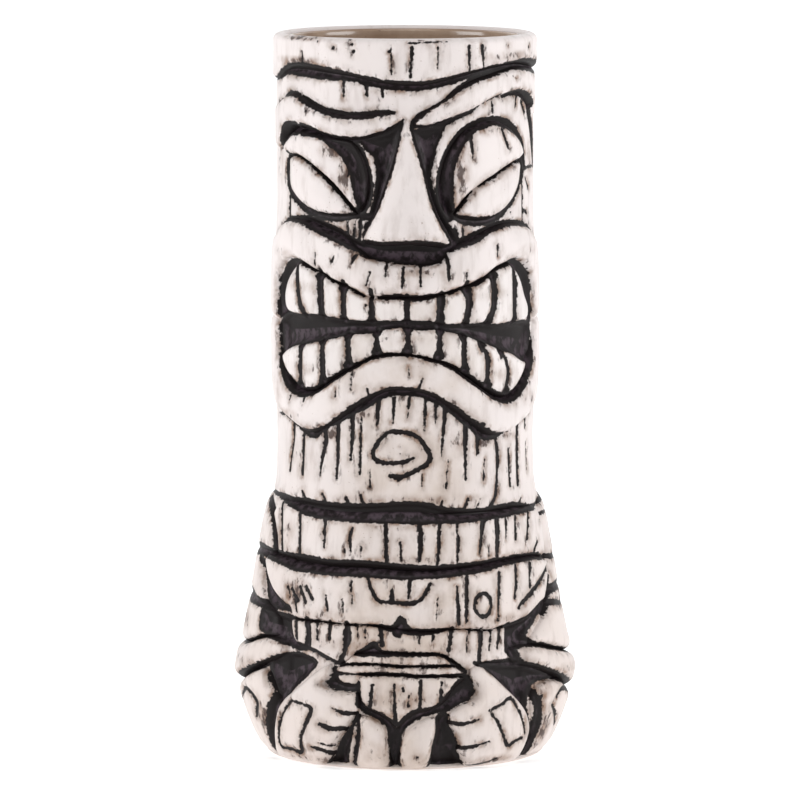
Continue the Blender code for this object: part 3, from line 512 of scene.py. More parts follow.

# Patches of darker, browner clay, as (u, z, half width, half height, strength). Some are stain wiped on
# unevenly;
# some are painted shade, such as the wide bands across the neck under the chin.
SMUDGES_AND_SHADE = [
    (-30, 179.6, 11, 1, 0.75), (-30, 173.9, 13, 1.5, 0.7), (30, 175.2, 15, 1.6, 0.55),
    (-4, 167.2, 6, 1.4, 0.5), (-18, 152.4, 5, 2.8, 0.9), (-14.8, 146, 2.4, 5, 0.9),
    (13.6, 146, 3, 9, 0.75), (24, 157, 9, 1.8, 0.6), (-12.6, 133, 2.6, 3.4, 0.75),
    (-20, 134.2, 7, 1.2, 0.7), (16, 132.4, 2.8, 1.8, 0.55), (4, 122.9, 6, 1.4, 0.7),
    (13.5, 81, 3.6, 3.4, 0.6), (30.5, 81, 3.4, 2, 0.6), (-33, 86.5, 7, 1.8, 0.5),
    (-12, 90.5, 4, 2, 0.4), (-38, 92, 4, 6, 0.45), (36, 90, 5, 3, 0.45), (-36, 126.5, 6, 1.8, 0.45),
    (36, 127, 6, 2, 0.5), (-27, 118.4, 8, 2, 0.4), (22, 117, 9, 2, 0.4), (-26, 98.4, 8, 2.4, 0.45),
    (24, 97, 8, 2.4, 0.45), (0, 106.4, 8, 1.6, 0.4), (-27, 43, 5, 5.5, 0.7), (-20, 38, 8, 2.2, 0.55),
    (-32, 56, 3.6, 5, 0.55), (30, 51.8, 9, 1.6, 0.6), (0, 52.2, 12, 1.6, 0.55), (24, 36.6, 9, 2, 0.5),
    (10, 36, 8, 1.6, 0.5), (-2, 60.4, 20, 1.4, 0.4), (-12, 31, 14, 2.2, 0.5), (8, 30.4, 10, 2, 0.5),
    (0, 18, 10, 3, 0.5), (-6.6, 4, 3, 4.4, 0.45), (3, 3, 3, 4, 0.45), (-44, 24, 8, 2.2, 0.5),
    (44, 22, 9, 2.2, 0.5), (-48, 34, 8, 3.6, 0.6), (46, 38, 8, 3, 0.65), (-36, 10, 4, 8, 0.7),
    (36, 8, 4, 8, 0.7), (34.5, 18, 3.5, 4, 0.5), (-20, 2, 12, 1.6, 0.55), (20, 2, 10, 1.6, 0.55),
    (-52, 56, 10, 3, 0.45), (50, 52, 9, 5, 0.5), (42, 150, 4, 8, 0.5), (-42, 148, 5, 8, 0.45),
    (-30, 76, 9, 8, 0.3), (0, 66.8, 30, 1.6, 0.45), (-20, 82.4, 4, 1.8, 0.9),
    (20.5, 80, 4.5, 1.8, 0.85), (-10, 87.6, 3, 1.6, 0.7), (8, 87.6, 3, 1.6, 0.6),
]

# Areas filled with stain, as outlines of (u, z)
AREAS = {
    "right_brow_corner": [
        (-0.3, 160.4), (-3, 157.8), (-6, 156.6), (-10, 155.9), (-13, 155.6), (-11.5, 154.4),
        (-9.5, 152), (-8.2, 151), (-7.4, 148.5), (-7.3, 145), (-8, 140.5), (-9, 136.6), (-7.2, 135.5),
        (-6.6, 137), (-5, 141.5), (-3.2, 147), (-1.6, 153), (-0.9, 157),
    ],
    "left_brow_corner": [
        (1.4, 159), (2.6, 158), (6, 158.4), (9.5, 158.8), (10.3, 158.4), (9.5, 156.6), (8.5, 154.6),
        (7.6, 151.6), (6.8, 148.4), (6.4, 145), (6.2, 142.6), (4.6, 146.5), (3, 152), (1.9, 155.5),
    ],
    "right_socket": [
        (-25, 156.2), (-22.4, 154.8), (-19.6, 153.4), (-17, 151.8), (-15, 149.4), (-13.6, 146.4),
        (-13, 142.6), (-12, 139.4), (-11, 137.4), (-9.4, 139), (-8.8, 142), (-8.9, 146), (-9.8, 149.5),
        (-11.3, 152.5), (-13.4, 154.8), (-18, 155.6),
    ],
    "left_temple": [
        (38.6, 163.8), (41.4, 162.6), (44.6, 159.6), (47.4, 155.6), (49.2, 151), (49.6, 146.8),
        (46.4, 146.4), (44.8, 149.4), (43.2, 153), (41.6, 157), (39.6, 160.6),
    ],
    "under_nose": [
        (-10.8, 130.6), (-9, 130.9), (-5, 130.4), (0, 130.9), (4, 130.9), (9, 129.8), (10.6, 128.6),
        (10, 126), (8.6, 124.7), (5, 124.2), (0, 124.4), (-4, 124.9), (-8, 125.6), (-11, 126.8),
        (-12, 128.6),
    ],
    "mouth_right_corner": [
        (-40.2, 109.4), (-40.8, 113), (-40.4, 117), (-39, 120.4), (-36, 123.4), (-33, 124.8),
        (-29.8, 124.8), (-29.4, 123.6), (-31.6, 122), (-34, 119.2), (-35.3, 116), (-35, 113),
        (-33.6, 111), (-40, 109.2),
    ],
    "mouth_left_corner": [
        (28, 124.3), (30.5, 125.1), (34, 124), (37.6, 121.8), (40, 119), (41.2, 115), (41.4, 110.5),
        (40.4, 108), (38, 109.4), (36.9, 112.4), (35, 115.6), (33.4, 119), (31.6, 121.6), (29.5, 122.2),
    ],
    "mouth_hollow": [
        (-39.6, 108.6), (-37.6, 110.2), (-34.4, 111.6), (-30, 111.2), (-25, 111.5), (-20, 111.3),
        (-14, 110.7), (-8, 110.6), (0, 110.7), (6, 110.6), (8.4, 109.7), (14, 109.7), (20, 109.7),
        (24, 109.1), (30, 109.3), (36, 109.2), (39.6, 108.4), (40.8, 106), (40.6, 102), (38.8, 99.4),
        (35, 98.8), (32.4, 99.8), (29.6, 101.2), (26, 102.2), (22, 103.8), (18, 105.2), (14, 106.9),
        (10, 107.6), (8, 108.3), (4, 108.1), (0, 108.8), (-4, 108.5), (-8, 107.3), (-13, 107.1),
        (-16, 106.2), (-21, 105), (-26, 103.9), (-31, 103), (-34.6, 101.8), (-36.4, 100.6),
        (-37.4, 98.8), (-38.6, 101), (-39.4, 105),
    ],
    "collar_right_hollow": [
        (-43.6, 49.2), (-41.4, 48.4), (-38.8, 45), (-35, 41), (-31, 38.6), (-28.4, 37), (-32, 36.8),
        (-36, 37), (-38.4, 38.6), (-41.4, 43.6),
    ],
    "fringe_right_hollow": [
        (-38.6, 37), (-34, 36.6), (-30.6, 36), (-28.6, 35.4), (-27.8, 31.6), (-25.6, 29.2), (-23, 28),
        (-27, 27.4), (-30.5, 28.6), (-34.5, 30.2), (-38, 31.2), (-38.6, 34),
    ],
    "fringe_left_hollow": [
        (24, 33.9), (28, 34.6), (32, 35.8), (36, 38.2), (37.6, 37), (35.6, 35.2), (33, 32.8),
        (31, 30.6), (33, 29), (30, 28), (27.6, 27.8), (28.6, 26), (28.6, 24.2), (26, 25), (24.6, 27.4),
        (23.8, 30),
    ],
    "left_arm_hollow": [
        (35.6, 36), (38, 39), (40.6, 43.2), (42.6, 46.6), (43.2, 44), (41.6, 40.4), (40, 37.2),
        (37.2, 34.8),
    ],
    "notch": [
        (-1.1, 38.3), (-2.4, 36.2), (-3.6, 35), (-3, 33.6), (-1.2, 32), (-0.3, 34), (1.6, 34.4),
        (0.7, 36), (-0.4, 37.8),
    ],
    "belt_wedge": [
        (-11.6, 27.8), (-9.4, 29.6), (-7, 31.5), (-6, 31.2), (-5.2, 29.6), (-4.4, 28.2), (-8, 27.6),
    ],
    "right_arm_gap": [
        (-35.4, 24), (-31.5, 26.2), (-27, 27.2), (-22, 26.4), (-20.4, 25.4), (-22.4, 22.4), (-26, 19.2),
        (-29, 16.4), (-30.4, 13), (-31.4, 15), (-33.5, 19), (-34.6, 22),
    ],
    "left_arm_gap": [
        (16, 25.4), (19, 24.6), (24, 24.4), (29, 23.8), (33, 22.4), (38, 20.6), (41, 19.8), (38, 19),
        (34.4, 19), (31.6, 18), (31, 14.4), (31.6, 10.6), (33.2, 7), (33.4, 4), (31.6, 2), (30, -0.5),
        (28.6, 0.8), (30, 4), (30.4, 8), (29.5, 11.6), (27, 15), (24, 18), (20.4, 21.6), (17.8, 24),
    ],
    "right_thumb_web": [
        (-16.6, 24.9), (-16.6, 23), (-17.2, 21.8), (-18.7, 20.2), (-17, 19), (-13, 18.3), (-10.8, 18.7),
        (-10.2, 20.5), (-12.6, 20.6), (-15, 21.4), (-15.4, 24.6),
    ],
    "left_thumb_web": [
        (14.2, 22.6), (15.6, 20.2), (16.1, 18.2), (15, 16.4), (12, 15), (9.6, 13.8), (6, 13),
        (2.6, 11.6), (0.2, 9.6), (-0.8, 6.5), (-1, 3), (-1, -1), (-3.2, -1), (-2.6, 6), (-2, 10),
        (0, 13.3), (3, 14.9), (6, 15.2), (8, 17), (10, 20), (12.4, 22.2),
    ],
    "right_knee_gap": [
        (-10.4, 14.2), (-11, 12.8), (-13, 9.2), (-15, 6), (-16.6, 3), (-18.6, 1), (-19.2, -1),
        (-14.2, -1), (-13.2, 2.4), (-12.2, 6), (-11.3, 10), (-10.2, 12.6),
    ],
    "left_knee_gap": [
        (8.4, 14), (9.9, 13), (9.5, 11), (10.8, 8.8), (11.2, 7.2), (12, 5.6), (11.7, 4), (12.9, 2.4),
        (13.8, 0), (13.6, -1), (5.2, -1), (5.9, 5), (6.6, 9), (6.4, 12.2), (7.4, 13.4),
    ],
}

# Outlines of the pieces, as (u, z). They run along the middle of the strokes that part the pieces.
OUTLINES = {
    "brow_right": [
        (-0.3, 160.6), *between(RIGHT_BROW_TOP, -2.5, -26), (-29.6, 165.2),
        *between(RIGHT_BROW_END, -33, -43), (-50, 161.4), (-57, 159.4), (-59, 157), (-56, 154.4),
        (-49, 152.6), (-43, 151.6), (-38.5, 153), (-36, 155.4), (-33, 157), (-29.5, 157.2),
        *between(RIGHT_BROW_FOOT, -26, -1),
    ],
    "brow_left": [
        (1.9, 158.8), *between(LEFT_BROW_TOP, 2.6, 27), (33, 172.4), (40, 172), (47, 171.4),
        (55, 170.2), (60, 166.6), (60, 162), (56, 159.4), (49, 159.6), (45, 160.8),
        *between(LEFT_BROW_END, 42, 30), (26.4, 165.5), (23, 164.8), (20, 163.6),
        *between(LEFT_BROW_FOOT, 16, 5),
    ],
    "eye_right": [
        (-33.6, 150), *between(RIGHT_LID, -30, -13), (-11.8, 136.6), (-16, 136.1), (-20, 136.1),
        (-24, 136.6), (-27.5, 137.7), (-30.5, 139.4), (-33, 141.6), (-34, 144), (-34, 147),
    ],
    "eyelid_right": [
        (-34.6, 150), *between(RIGHT_LID, -32.5, -13), (-11.3, 137), (-10.1, 139), (-9.2, 142),
        (-9.2, 146), (-10, 149.5), (-11.5, 152.5), (-13.5, 154.6), *between(RIGHT_BROW_FOOT, -16, -26),
        (-30, 157), (-33, 156.8), (-36, 155.2), (-38, 152.6), (-36.6, 150.6),
    ],
    "eye_left": [
        (33.8, 149), *between(LEFT_LID, 30.5, 21), (17.8, 142.8), (15.5, 140.8), (13.5, 138.5),
        (12.2, 136.6), (14, 135.6), (17, 135), (20, 134.8), (23, 135.2), (26, 136.2), (29, 138),
        (31.5, 140.4), (33.2, 143), (34, 146),
    ],
    "eyelid_left": [
        (35.2, 149.8), *between(LEFT_LID, 30.5, 21), (17.8, 142.8), (15.5, 140.8), (13.5, 138.5),
        (12, 136.8), (10.9, 137.4), (9.8, 139.4), (9, 142), (8.9, 145), (9.5, 148), (10.6, 151),
        (12.2, 153.6), (14.4, 156), (17, 157.8), (20, 158.8), (23, 159.3), (26, 159), (29, 158),
        (32, 156.4), (34.6, 154.4), (36.4, 152),
    ],
    "nose": [
        (0.3, 160.2), *between(NOSE_RIGHT, -1.2, -9), (-10.6, 131.2), (-9.6, 129.6), (-5, 128.8),
        (0, 129.2), (5, 128.9), (9.4, 128.4), (11.8, 129.6), *between(NOSE_LEFT, 10.7, 1.8),
    ],
    "upper_lip": [
        (-59, 122), (-55, 126.4), (-49.5, 128.9), *between(RIGHT_LIP_TOP, -44, -13.5), (-10.8, 127.8),
        (-8, 126), (-4, 125.2), (0, 124.8), (5, 124.6), (8.6, 125.4), (10.6, 127.4),
        *between(LEFT_LIP_TOP, 13, 44), (49, 128.4), (55, 126), (59, 121), (59.6, 113), (58, 109.4),
        (50, 109.2), (41.8, 109.2), (41.7, 113), (40.8, 117), (38.8, 120.6), (36, 123), (32, 124.6),
        (29, 124.4), *between(LEFT_GUM, 26.5, 0), (-4, 116.4), (-6.5, 116.3),
        *between(RIGHT_GUM, -10, -20), (-22.8, 122.3), (-24.5, 122.8), (-27, 123.7), (-30, 124.8),
        (-34, 124.6), (-37.4, 122.6), (-39.4, 119.6), (-40.6, 115), (-40.6, 109.4), (-51, 109.4),
        (-58, 109.6), (-60, 114),
    ],
    "lower_lip": [
        (-58, 109.2), (-50, 109), (-40.4, 108.8), (-39.2, 105), (-38.6, 101.8), (-37.8, 99.6),
        (-36.8, 97.8), *between(LOWER_GUM, -35, 37.5), (39, 100.4), (40.4, 102.6), (41.2, 106),
        (41.6, 108.6), (50, 108.8), (58, 108.8), (60, 102), (58, 95), (53, 90.6), (47, 88.4),
        (42, 86.8), (39, 85.2), (36, 84.2), (33, 83.2), (29.5, 81.9), *between(CHIN_LINE, 26, -40.5),
        (-45, 88.2), (-51, 90.4), (-57, 94.6), (-60, 101),
    ],
    "upper_teeth": [
        (-33.6, 111.4), (-30, 111), (-25, 111.2), (-20, 111), (-14, 110.4), (-8, 110.3), (0, 110.4),
        (6, 110.3), (8.4, 109.4), (14, 109.4), (20, 109.4), (24, 108.8), (30, 109), (36, 109.2),
        (37, 112.4), (35, 115.6), (33.4, 119), (31.6, 121.6), (29.5, 124), *between(LEFT_GUM, 26.5, 0),
        (-4, 116.4), (-6.5, 116.3), *between(RIGHT_GUM, -10, -20), (-22.8, 122.3), (-24.5, 122.8),
        (-27, 123.7), (-29.6, 124), (-32, 121.6), (-34, 119.2), (-35.3, 116), (-35, 113),
    ],
    "lower_teeth": [
        (-38.6, 98.8), (-37, 100.8), (-34.6, 102), (-31, 103.2), (-26, 104.1), (-21, 105.3),
        (-16, 106.5), (-13, 107.3), (-8, 107.6), (-4, 108.7), (0, 109), (4, 108.4), (8, 108.6),
        (10, 107.9), (14, 107.1), (18, 105.5), (22, 104), (26, 102.4), (29.6, 101.4), (32.4, 100),
        (35, 99), (37, 98.4), *between(LOWER_GUM, 35.5, -32), (-35.5, 95.8), (-38, 98),
    ],
    "neck_band": [
        (-41, 60), (-38, 63.4), *between(NECK_GROOVE, -33, 36), (41, 61.9), (43.4, 58), (43, 52),
        (41, 49.3), *between(CHEST_GROOVE, 38, -18), (-28, 49.4), (-33, 50), (-36, 50.6), (-36.4, 52.6),
        (-38, 55.6), (-40, 58.4),
    ],
    "collar": [
        (-41, 49.9), (-38, 50.4), (-33, 50), (-28, 49.4), *between(CHEST_GROOVE, -18, 41), (42.6, 47),
        (40.6, 43), (38.8, 40), (37.6, 38.4), *between(COLLAR_EDGE, 36, -7), (-14, 35.3), (-20, 35.5),
        (-24, 35.4), (-27.8, 35.7), (-28.6, 37.4), (-31.4, 39.2), (-35, 41.6), (-38.8, 45.4),
        (-41, 48.6),
    ],
    "fringe": [
        (-28.2, 35.5), (-24, 35.4), (-20, 35.5), (-14, 35.3), *between(COLLAR_EDGE, -7, 20), (24, 33.9),
        (23.9, 30), (24.6, 27.4), (24, 24.8), (20, 25), (17, 25), (14.2, 23.8), (12, 25), (10, 26.6),
        (8, 27.9), (5, 28.3), (1, 28.3), (-3, 28.5), (-7, 28.6), (-11, 28), (-12.8, 26.4),
        *between(FRINGE_EDGE, -14.4, -27), (-28, 32),
    ],
    "belt_upper": [
        (-14, 25.4), *between(BELT_MIDDLE, -11, 8), (11.5, 25), (10, 26.5), *between(BELT_TOP, 8, -11),
        (-12.6, 26.6),
    ],
    "belt_lower": [
        (-14.8, 25), (-11, 25.4), (-7, 25.6), (-2, 25.2), (3, 25.1), (8, 25.1), (11.8, 24.9),
        (13.8, 22.9), *between(BELT_FOOT, 12, -11), (-15.4, 23),
    ],
    "apron": [
        (-10.2, 21), (-10.2, 18), (-9.5, 15), (-7, 13.4), (-4.5, 12), (-2.6, 10), (-1.6, 9.4),
        (0.4, 11), (2.6, 12.4), (6, 14.2), (9, 16.4), (11, 19.4), (13.4, 22), (8, 22.6), (3, 22.8),
        (-2, 23.1), (-7, 23.1), (-11, 22.9),
    ],
    "arm_right": [
        (-50, 63.3), (-44, 61.2), (-40, 58.5), (-37.5, 55), (-36.2, 51.6), (-40, 49.6), (-42.6, 46.8),
        (-41, 42.4), (-38.6, 38.6), (-35, 36.6), (-33, 34), (-32.6, 30.8),
        *between(RIGHT_CUFF_TOP, -38, -60), (-69, 27.4), (-74, 36), (-74.6, 48), (-71, 58), (-64, 63),
        (-56, 64.4),
    ],
    "arm_left": [
        (46, 62.6), (43.4, 59), (43, 53), (43.6, 48), (42.6, 44.4), (41, 40.6), (39.6, 37.4), (37, 35),
        (33.8, 32.4), (31.5, 30), (31.4, 28.6), *between(LEFT_CUFF_TOP, 34, 56), (68, 23.4), (74, 34),
        (74.6, 48), (71, 58), (64, 63), (54, 64.4),
    ],
    "elbow_cuff_right": [
        (-30.2, 29.4), *between(RIGHT_CUFF_TOP, -34, -60), (-69, 26.4), (-73, 21), (-69, 15.4),
        *between(RIGHT_CUFF_FOOT, -60, -32), (-29.4, 27),
    ],
    "elbow_cuff_left": [
        (26, 28), *between(LEFT_CUFF_TOP, 30, 56), (68, 22.8), (73, 18), (68, 13.6),
        *between(LEFT_CUFF_FOOT, 58, 28), (25.4, 25.6),
    ],
    "forearm_right": [
        (-34.6, 21.8), (-38, 21.6), (-42, 20), (-46, 18.2), (-50, 16.8), (-60, 15.4), (-69, 15.2),
        (-73, 10), (-71, 3), (-66, 0.4), (-50, 0.3), (-35.6, 0.3), (-34.4, 4), (-32.8, 8.8),
        (-31.4, 13), (-32.2, 17),
    ],
    "forearm_left": [
        (41, 18.8), (44, 17.4), (50, 15.2), (58, 13.9), (69, 13.4), (73, 9), (71, 3), (66, 0.4),
        (50, 0.3), (31.6, 0.3), (32.8, 2.6), (33.8, 5.6), (32.6, 9.4), (31.4, 13), (32, 17),
        (34.4, 18.8), (38, 18.8),
    ],
    "hand_right": [
        (-16.8, 25.2), (-18.4, 24.5), (-21, 22.6), (-24, 19.9), (-27, 17.3), (-30, 14.6), (-31.8, 9.4),
        (-33.4, 4), (-34.8, 0.3), (-27, 0.25), (-19, 0.3), (-16.6, 3), (-15, 6), (-13, 9.2),
        (-11, 12.8), (-10, 14.6), (-10.4, 18.4), (-13, 18.3), (-17, 19), (-18.7, 20.2), (-17.2, 21.8),
        (-16.6, 23),
    ],
    "hand_left": [
        (16, 25.2), (17.8, 24.2), (20.4, 21.8), (24, 18.2), (27, 15.2), (29.6, 11.8), (30.6, 8),
        (30.2, 4), (28.8, 1), (28, 0.3), (21, 0.25), (13.6, 0.3), (12.9, 2.4), (11.7, 4), (12, 5.6),
        (11.2, 7.2), (10.8, 8.8), (9.4, 11), (9.6, 13), (12, 15), (15, 16.4), (16.1, 18.2),
        (15.6, 20.2), (14.2, 22.6), (14.8, 24.6),
    ],
    "knee_right": [
        (-10.4, 12.6), (-8, 12.6), (-5, 10.4), (-3.8, 7), (-3.2, 3), (-3, 0.3), (-12, 0.3), (-11, 4),
        (-10.3, 8),
    ],
    "knee_left": [
        (6.6, 12.8), (5, 12.4), (2.2, 10.8), (0.2, 8.6), (-1, 5.4), (-1.4, 0.3), (5.6, 0.3), (6, 5),
        (6.8, 9),
    ],
}

# The wall's outside without relief, as (z, share of the belly's radius)
PROFILE = [
    (0, 0.9), (1.2, 0.935), (4, 0.97), (10, 0.995), (22, 1), (34, 0.992), (46, 0.966), (58, 0.926),
    (68, 0.896), (74, 0.888), (82, 0.887), (90, 0.896), (100, 0.906), (118, 0.906), (128, 0.896),
    (136, 0.887), (144, HEAD_SHARE), (180, HEAD_SHARE),
]
# How far the arms stand out at the sides, as (z, lift)
ARM_SWELL = [
    (0, 0), (3, 1), (8, 2.4), (13, 4), (17, 5), (21, 5.9), (25, 5.2), (30, 3.9), (38, 2.6), (48, 1.9),
    (58, 1.4), (64, 0.6), (69, 0),
]

# ---- The field of the drawing: at each (u, z) the distance into the nearest stroke, positive inside ----
GRID = 0.2
HALO = 3.0  # the field stops falling this far outside a stroke
U_END = 104.0
Z_ENDS = (-3.0, 183.0)
U_AXIS = np.arange(-U_END, U_END + GRID, GRID)
Z_AXIS = np.arange(Z_ENDS[0], Z_ENDS[1] + GRID, GRID)

# Rows of carved grain round the back, as the low and high z of each
GRAIN_ROWS = ((68, 88), (90, 118), (120, 144), (146, 168), (52, 61), (4, 46))
ARMS_TOP = 50  # below this height the arms leave less of the back free


def catmull_rom(points, closed=False, step=0.6):
    """A smooth line through the points, as rows about step apart."""
    points = np.array(points, float)
    if closed:
        padded = np.vstack([points[-1:], points, points[:2]])
    else:
        padded = np.vstack([2 * points[:1] - points[1:2], points, 2 * points[-1:] - points[-2:-1]])
    rows = []
    for k in range(len(padded) - 3):
        a, b, c, d = padded[k : k + 4]
        count = max(1, int(np.linalg.norm((c - b)[:2]) / step))
        t = np.linspace(0.0, 1.0, count, endpoint=False)[:, None]
        square, cube = 2 * a - 5 * b + 4 * c - d, 3 * b - a - 3 * c + d
        rows.append(0.5 * (2 * b + (c - a) * t + square * t**2 + cube * t**3))
    if not closed:
        rows.append(points[-1:])
    return np.vstack(rows)


def window(low, high):
    """The rows and columns of the field between two corners."""
    columns = slice(*np.searchsorted(U_AXIS, (low[0], high[0])))
    rows = slice(*np.searchsorted(Z_AXIS, (low[1], high[1])))
    return rows, columns


def segment_distance(u, z, start, end):
    """Distance from (u, z) to a segment, and how far along it the nearest point is, 0 to 1."""
    du, dz = end[0] - start[0], end[1] - start[1]
    along = ((u - start[0]) * du + (z - start[1]) * dz) / (du * du + dz * dz + 1e-12)
    along = np.clip(along, 0.0, 1.0)
    return np.hypot(u - start[0] - along * du, z - start[1] - along * dz), along


def draw_stroke(field, points):
    """Raises the field to the distance into a stroke."""
    line = catmull_rom(points) if len(points) > 2 else np.array(points, float)
    for start, end in zip(line[:-1], line[1:]):
        reach = HALO + 0.5 * max(start[2], end[2])
        rows, columns = window(np.minimum(start, end) - reach, np.maximum(start, end) + reach)
        gap, along = segment_distance(U_AXIS[None, columns], Z_AXIS[rows, None], start, end)
        part = field[rows, columns]
        np.maximum(part, 0.5 * (start[2] + (end[2] - start[2]) * along) - gap, out=part)


def signed_distance(loop, u, z):
    """Distance to a closed outline, positive inside it."""
    nearest = np.full(np.broadcast(u, z).shape, 1e3)
    inside = np.zeros(nearest.shape, bool)
    for start, end in zip(loop, np.roll(loop, -1, axis=0)):
        nearest = np.minimum(nearest, segment_distance(u, z, start, end)[0])
        if start[1] != end[1]:
            crosses = (start[1] > z) != (end[1] > z)
            inside ^= crosses & (u < (end[0] - start[0]) * (z - start[1]) / (end[1] - start[1]) + start[0])
    return np.where(inside, nearest, -nearest)


def draw_area(field, points):
    """Raises the field to the distance into a filled outline."""
    loop = catmull_rom(points, closed=True, step=1.2)
    rows, columns = window(loop.min(0) - HALO, loop.max(0) + HALO)
    part = field[rows, columns]
    np.maximum(part, signed_distance(loop, U_AXIS[None, columns], Z_AXIS[rows, None]), out=part)


def hashed(k, seed):
    """A repeatable number from 0 to 1."""
    return (math.sin(12.9898 * k + 78.233 * seed) * 43758.5453) % 1.0


def grain_stroke(seed, u, low, high):
    """One upright stroke near u, somewhere between low and high."""
    length = (high - low) * (0.35 + 0.55 * hashed(seed, 2))
    bottom = low + (high - low - length) * hashed(seed, 3)
    width = 0.5 + 0.8 * hashed(seed, 4)
    lean = 1.4 * (hashed(seed, 5) - 0.5)
    middle = (u + 0.5 * lean, bottom + 0.5 * length, width)
    return [(u, bottom, 0.5 * width), middle, (u + lean, bottom + length, 0.4 * width)]


def back_grain():
    """Upright carved strokes round the back of the mug, in rows between its grooves."""
    strokes = []
    for row, (low, high) in enumerate(GRAIN_ROWS):
        nearest, count = (76.0, 9) if high < ARMS_TOP else (55.0, 14)
        for side in (-1, 1):
            for k in range(count):
                seed = row * 40 + k + (100 if side > 0 else 0)
                u = side * (nearest + (ROUND / 2 - nearest) * (k + 0.2 + 0.6 * hashed(seed, 1)) / count)
                strokes.append(grain_stroke(seed, u, low, high))
    return strokes


def settled(points):
    """The points with each z moved up by SETTLE at the foot and by nothing at the rim."""
    points = np.array(points, float)
    z = points[:, 1]
    points[:, 1] = z + SETTLE * (1 - z / HEIGHT) * np.clip(z / SETTLE_FOOT, 0, 1)
    return points


def ring_stroke():
    """The plain ring as a stroke."""
    u, z, half_u, half_z, width = RING
    turns = [math.radians(degrees) for degrees in range(0, 360 + TURN_STEP, TURN_STEP)]
    return [(u + half_u * math.cos(turn), z + half_z * math.sin(turn), width) for turn in turns]


def all_strokes():
    """Every stroke of the drawing."""
    strokes = SEAMS + BROW_LINES + EYE_LINES + LIP_LINES + BODY_LINES + MOTIFS + BENT_TICKS
    strokes += [[(u0, z0, w0), (u1, z1, w1)] for u0, z0, u1, z1, w0, w1 in TICKS]
    strokes += [[(u, z, size), (u + SPOT_LENGTH, z, size)] for u, z, size in SPOTS]
    thin, wide = CORNER_WIDTHS
    strokes += [[(u, z + way * CORNER_REACH, thin), (u, z, wide)] for u, z, way in TOOTH_CORNERS]
    return strokes + back_grain() + [ring_stroke()]


def draw_all():
    """The whole drawing as a field."""
    field = np.full((len(Z_AXIS), len(U_AXIS)), -HALO)
    for stroke in all_strokes():
        draw_stroke(field, settled(stroke))
    for outline in AREAS.values():
        draw_area(field, settled(outline))
    return field


def sample(field, u, z):
    """The field between its grid points, once round the wall and back again."""
    x = np.clip((folded(u) - U_AXIS[0]) / GRID, 0, len(U_AXIS) - 1.001)
    y = np.clip((z - Z_AXIS[0]) / GRID, 0, len(Z_AXIS) - 1.001)
    x0, y0 = x.astype(int), y.astype(int)
    fx, fy = x - x0, y - y0
    low = field[y0, x0] * (1 - fx) + field[y0, x0 + 1] * fx
    high = field[y0 + 1, x0] * (1 - fx) + field[y0 + 1, x0 + 1] * fx
    return low * (1 - fy) + high * fy


STAIN = draw_all()


def smudge_and_shade_at(u, z):
    """How much smudge and painted shade darken the clay at (u, z), from 0 to 1."""
    u = folded(u)
    dirt = np.zeros(np.broadcast(u, z).shape)
    for middle_u, middle_z, half_u, half_z, strength in SMUDGES_AND_SHADE:
        away = np.hypot((u - middle_u) / half_u, (z - middle_z) / half_z)
        dirt = np.maximum(dirt, strength * (1 - smooth_step(*SMUDGE_AND_SHADE_SPAN, away)))
    return dirt


def carved(stain, u):
    """Depth of the carving where the field has this value. It runs out towards the sides of the mug."""
    depth = SHALLOW * smooth_step(*SHALLOW_SPAN, stain) + DEEP * smooth_step(*DEEP_SPAN, stain)
    return depth * (1 - FADED_SHARE * smooth_step(*CARVING_FADES, np.abs(folded(u))))


# ---- The wall's shape ----
DENSE_PROFILE = catmull_rom(PROFILE, step=0.5)


def wall_radius(z):
    """Radius of the round wall at this height, without relief."""
    return BELLY * np.interp(z, DENSE_PROFILE[:, 0], DENSE_PROFILE[:, 1])


def arm_swell(u, z):
    """How far the arms stand out from the round wall."""
    across = np.clip((np.abs(folded(u)) - ARM_MIDDLE) / ARM_HALF, -1.0, 1.0)
    return np.interp(z, *np.array(ARM_SWELL, float).T) * np.sqrt(1 - across**2)


def side_swell(u, z):
    """The part of the arms' swell that the wall itself has."""
    return SWELL_SHARE * arm_swell(u, z)


def flare(z):
    """How much wider the bore is at this height than lower down."""
    return FLARE * smooth_step(HEIGHT - FLARE_LOW, HEIGHT - FLARE_HIGH, z)


def wrapped(u, z, radius):
    """Points in millimetres on the wrapped wall."""
    angle = np.asarray(u) / WRAP
    x, y = radius * np.sin(angle), -radius * np.cos(angle)
    return np.stack([x, y, np.broadcast_to(z, angle.shape)], axis=-1)


# ---- Meshes ----
SLOPE_REACH = 0.35
DARKEST = 3.0


def add_attribute(mesh, name, values):
    """Stores one number for each point, for the materials to read."""
    attribute = mesh.attributes.new(name, "FLOAT", "POINT")
    attribute.data.foreach_set("value", values.astype(np.float32))


def add_piece(name, points, faces, stain, node, material):
    """A closed piece that rides on the mug and stands for a CAD node."""
    mesh = bpy.data.meshes.new(name)
    mesh.from_pydata(np.round(points * MM, 8).tolist(), [], [list(map(int, face)) for face in faces])
    u, z = WRAP * np.arctan2(points[:, 0], -points[:, 1]), points[:, 2]
    slope = sample(STAIN, u, z - SLOPE_REACH) - sample(STAIN, u, z + SLOPE_REACH)
    add_attribute(mesh, "stain", np.clip(stain, -HALO, DARKEST))
    # overhang keeps the painted sheen off edges that face down; smudge holds the patches of smudge and
    # painted shade
    add_attribute(mesh, "overhang", slope / (2 * SLOPE_REACH))
    add_attribute(mesh, "smudge_and_shade", smudge_and_shade_at(u, z))
    mesh.shade_smooth()
    mesh.materials.append(material)
    piece = bpy.data.objects.new(name, mesh)
    bpy.context.scene.collection.objects.link(piece)
    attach(piece, "root")
    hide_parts(node)
    return piece


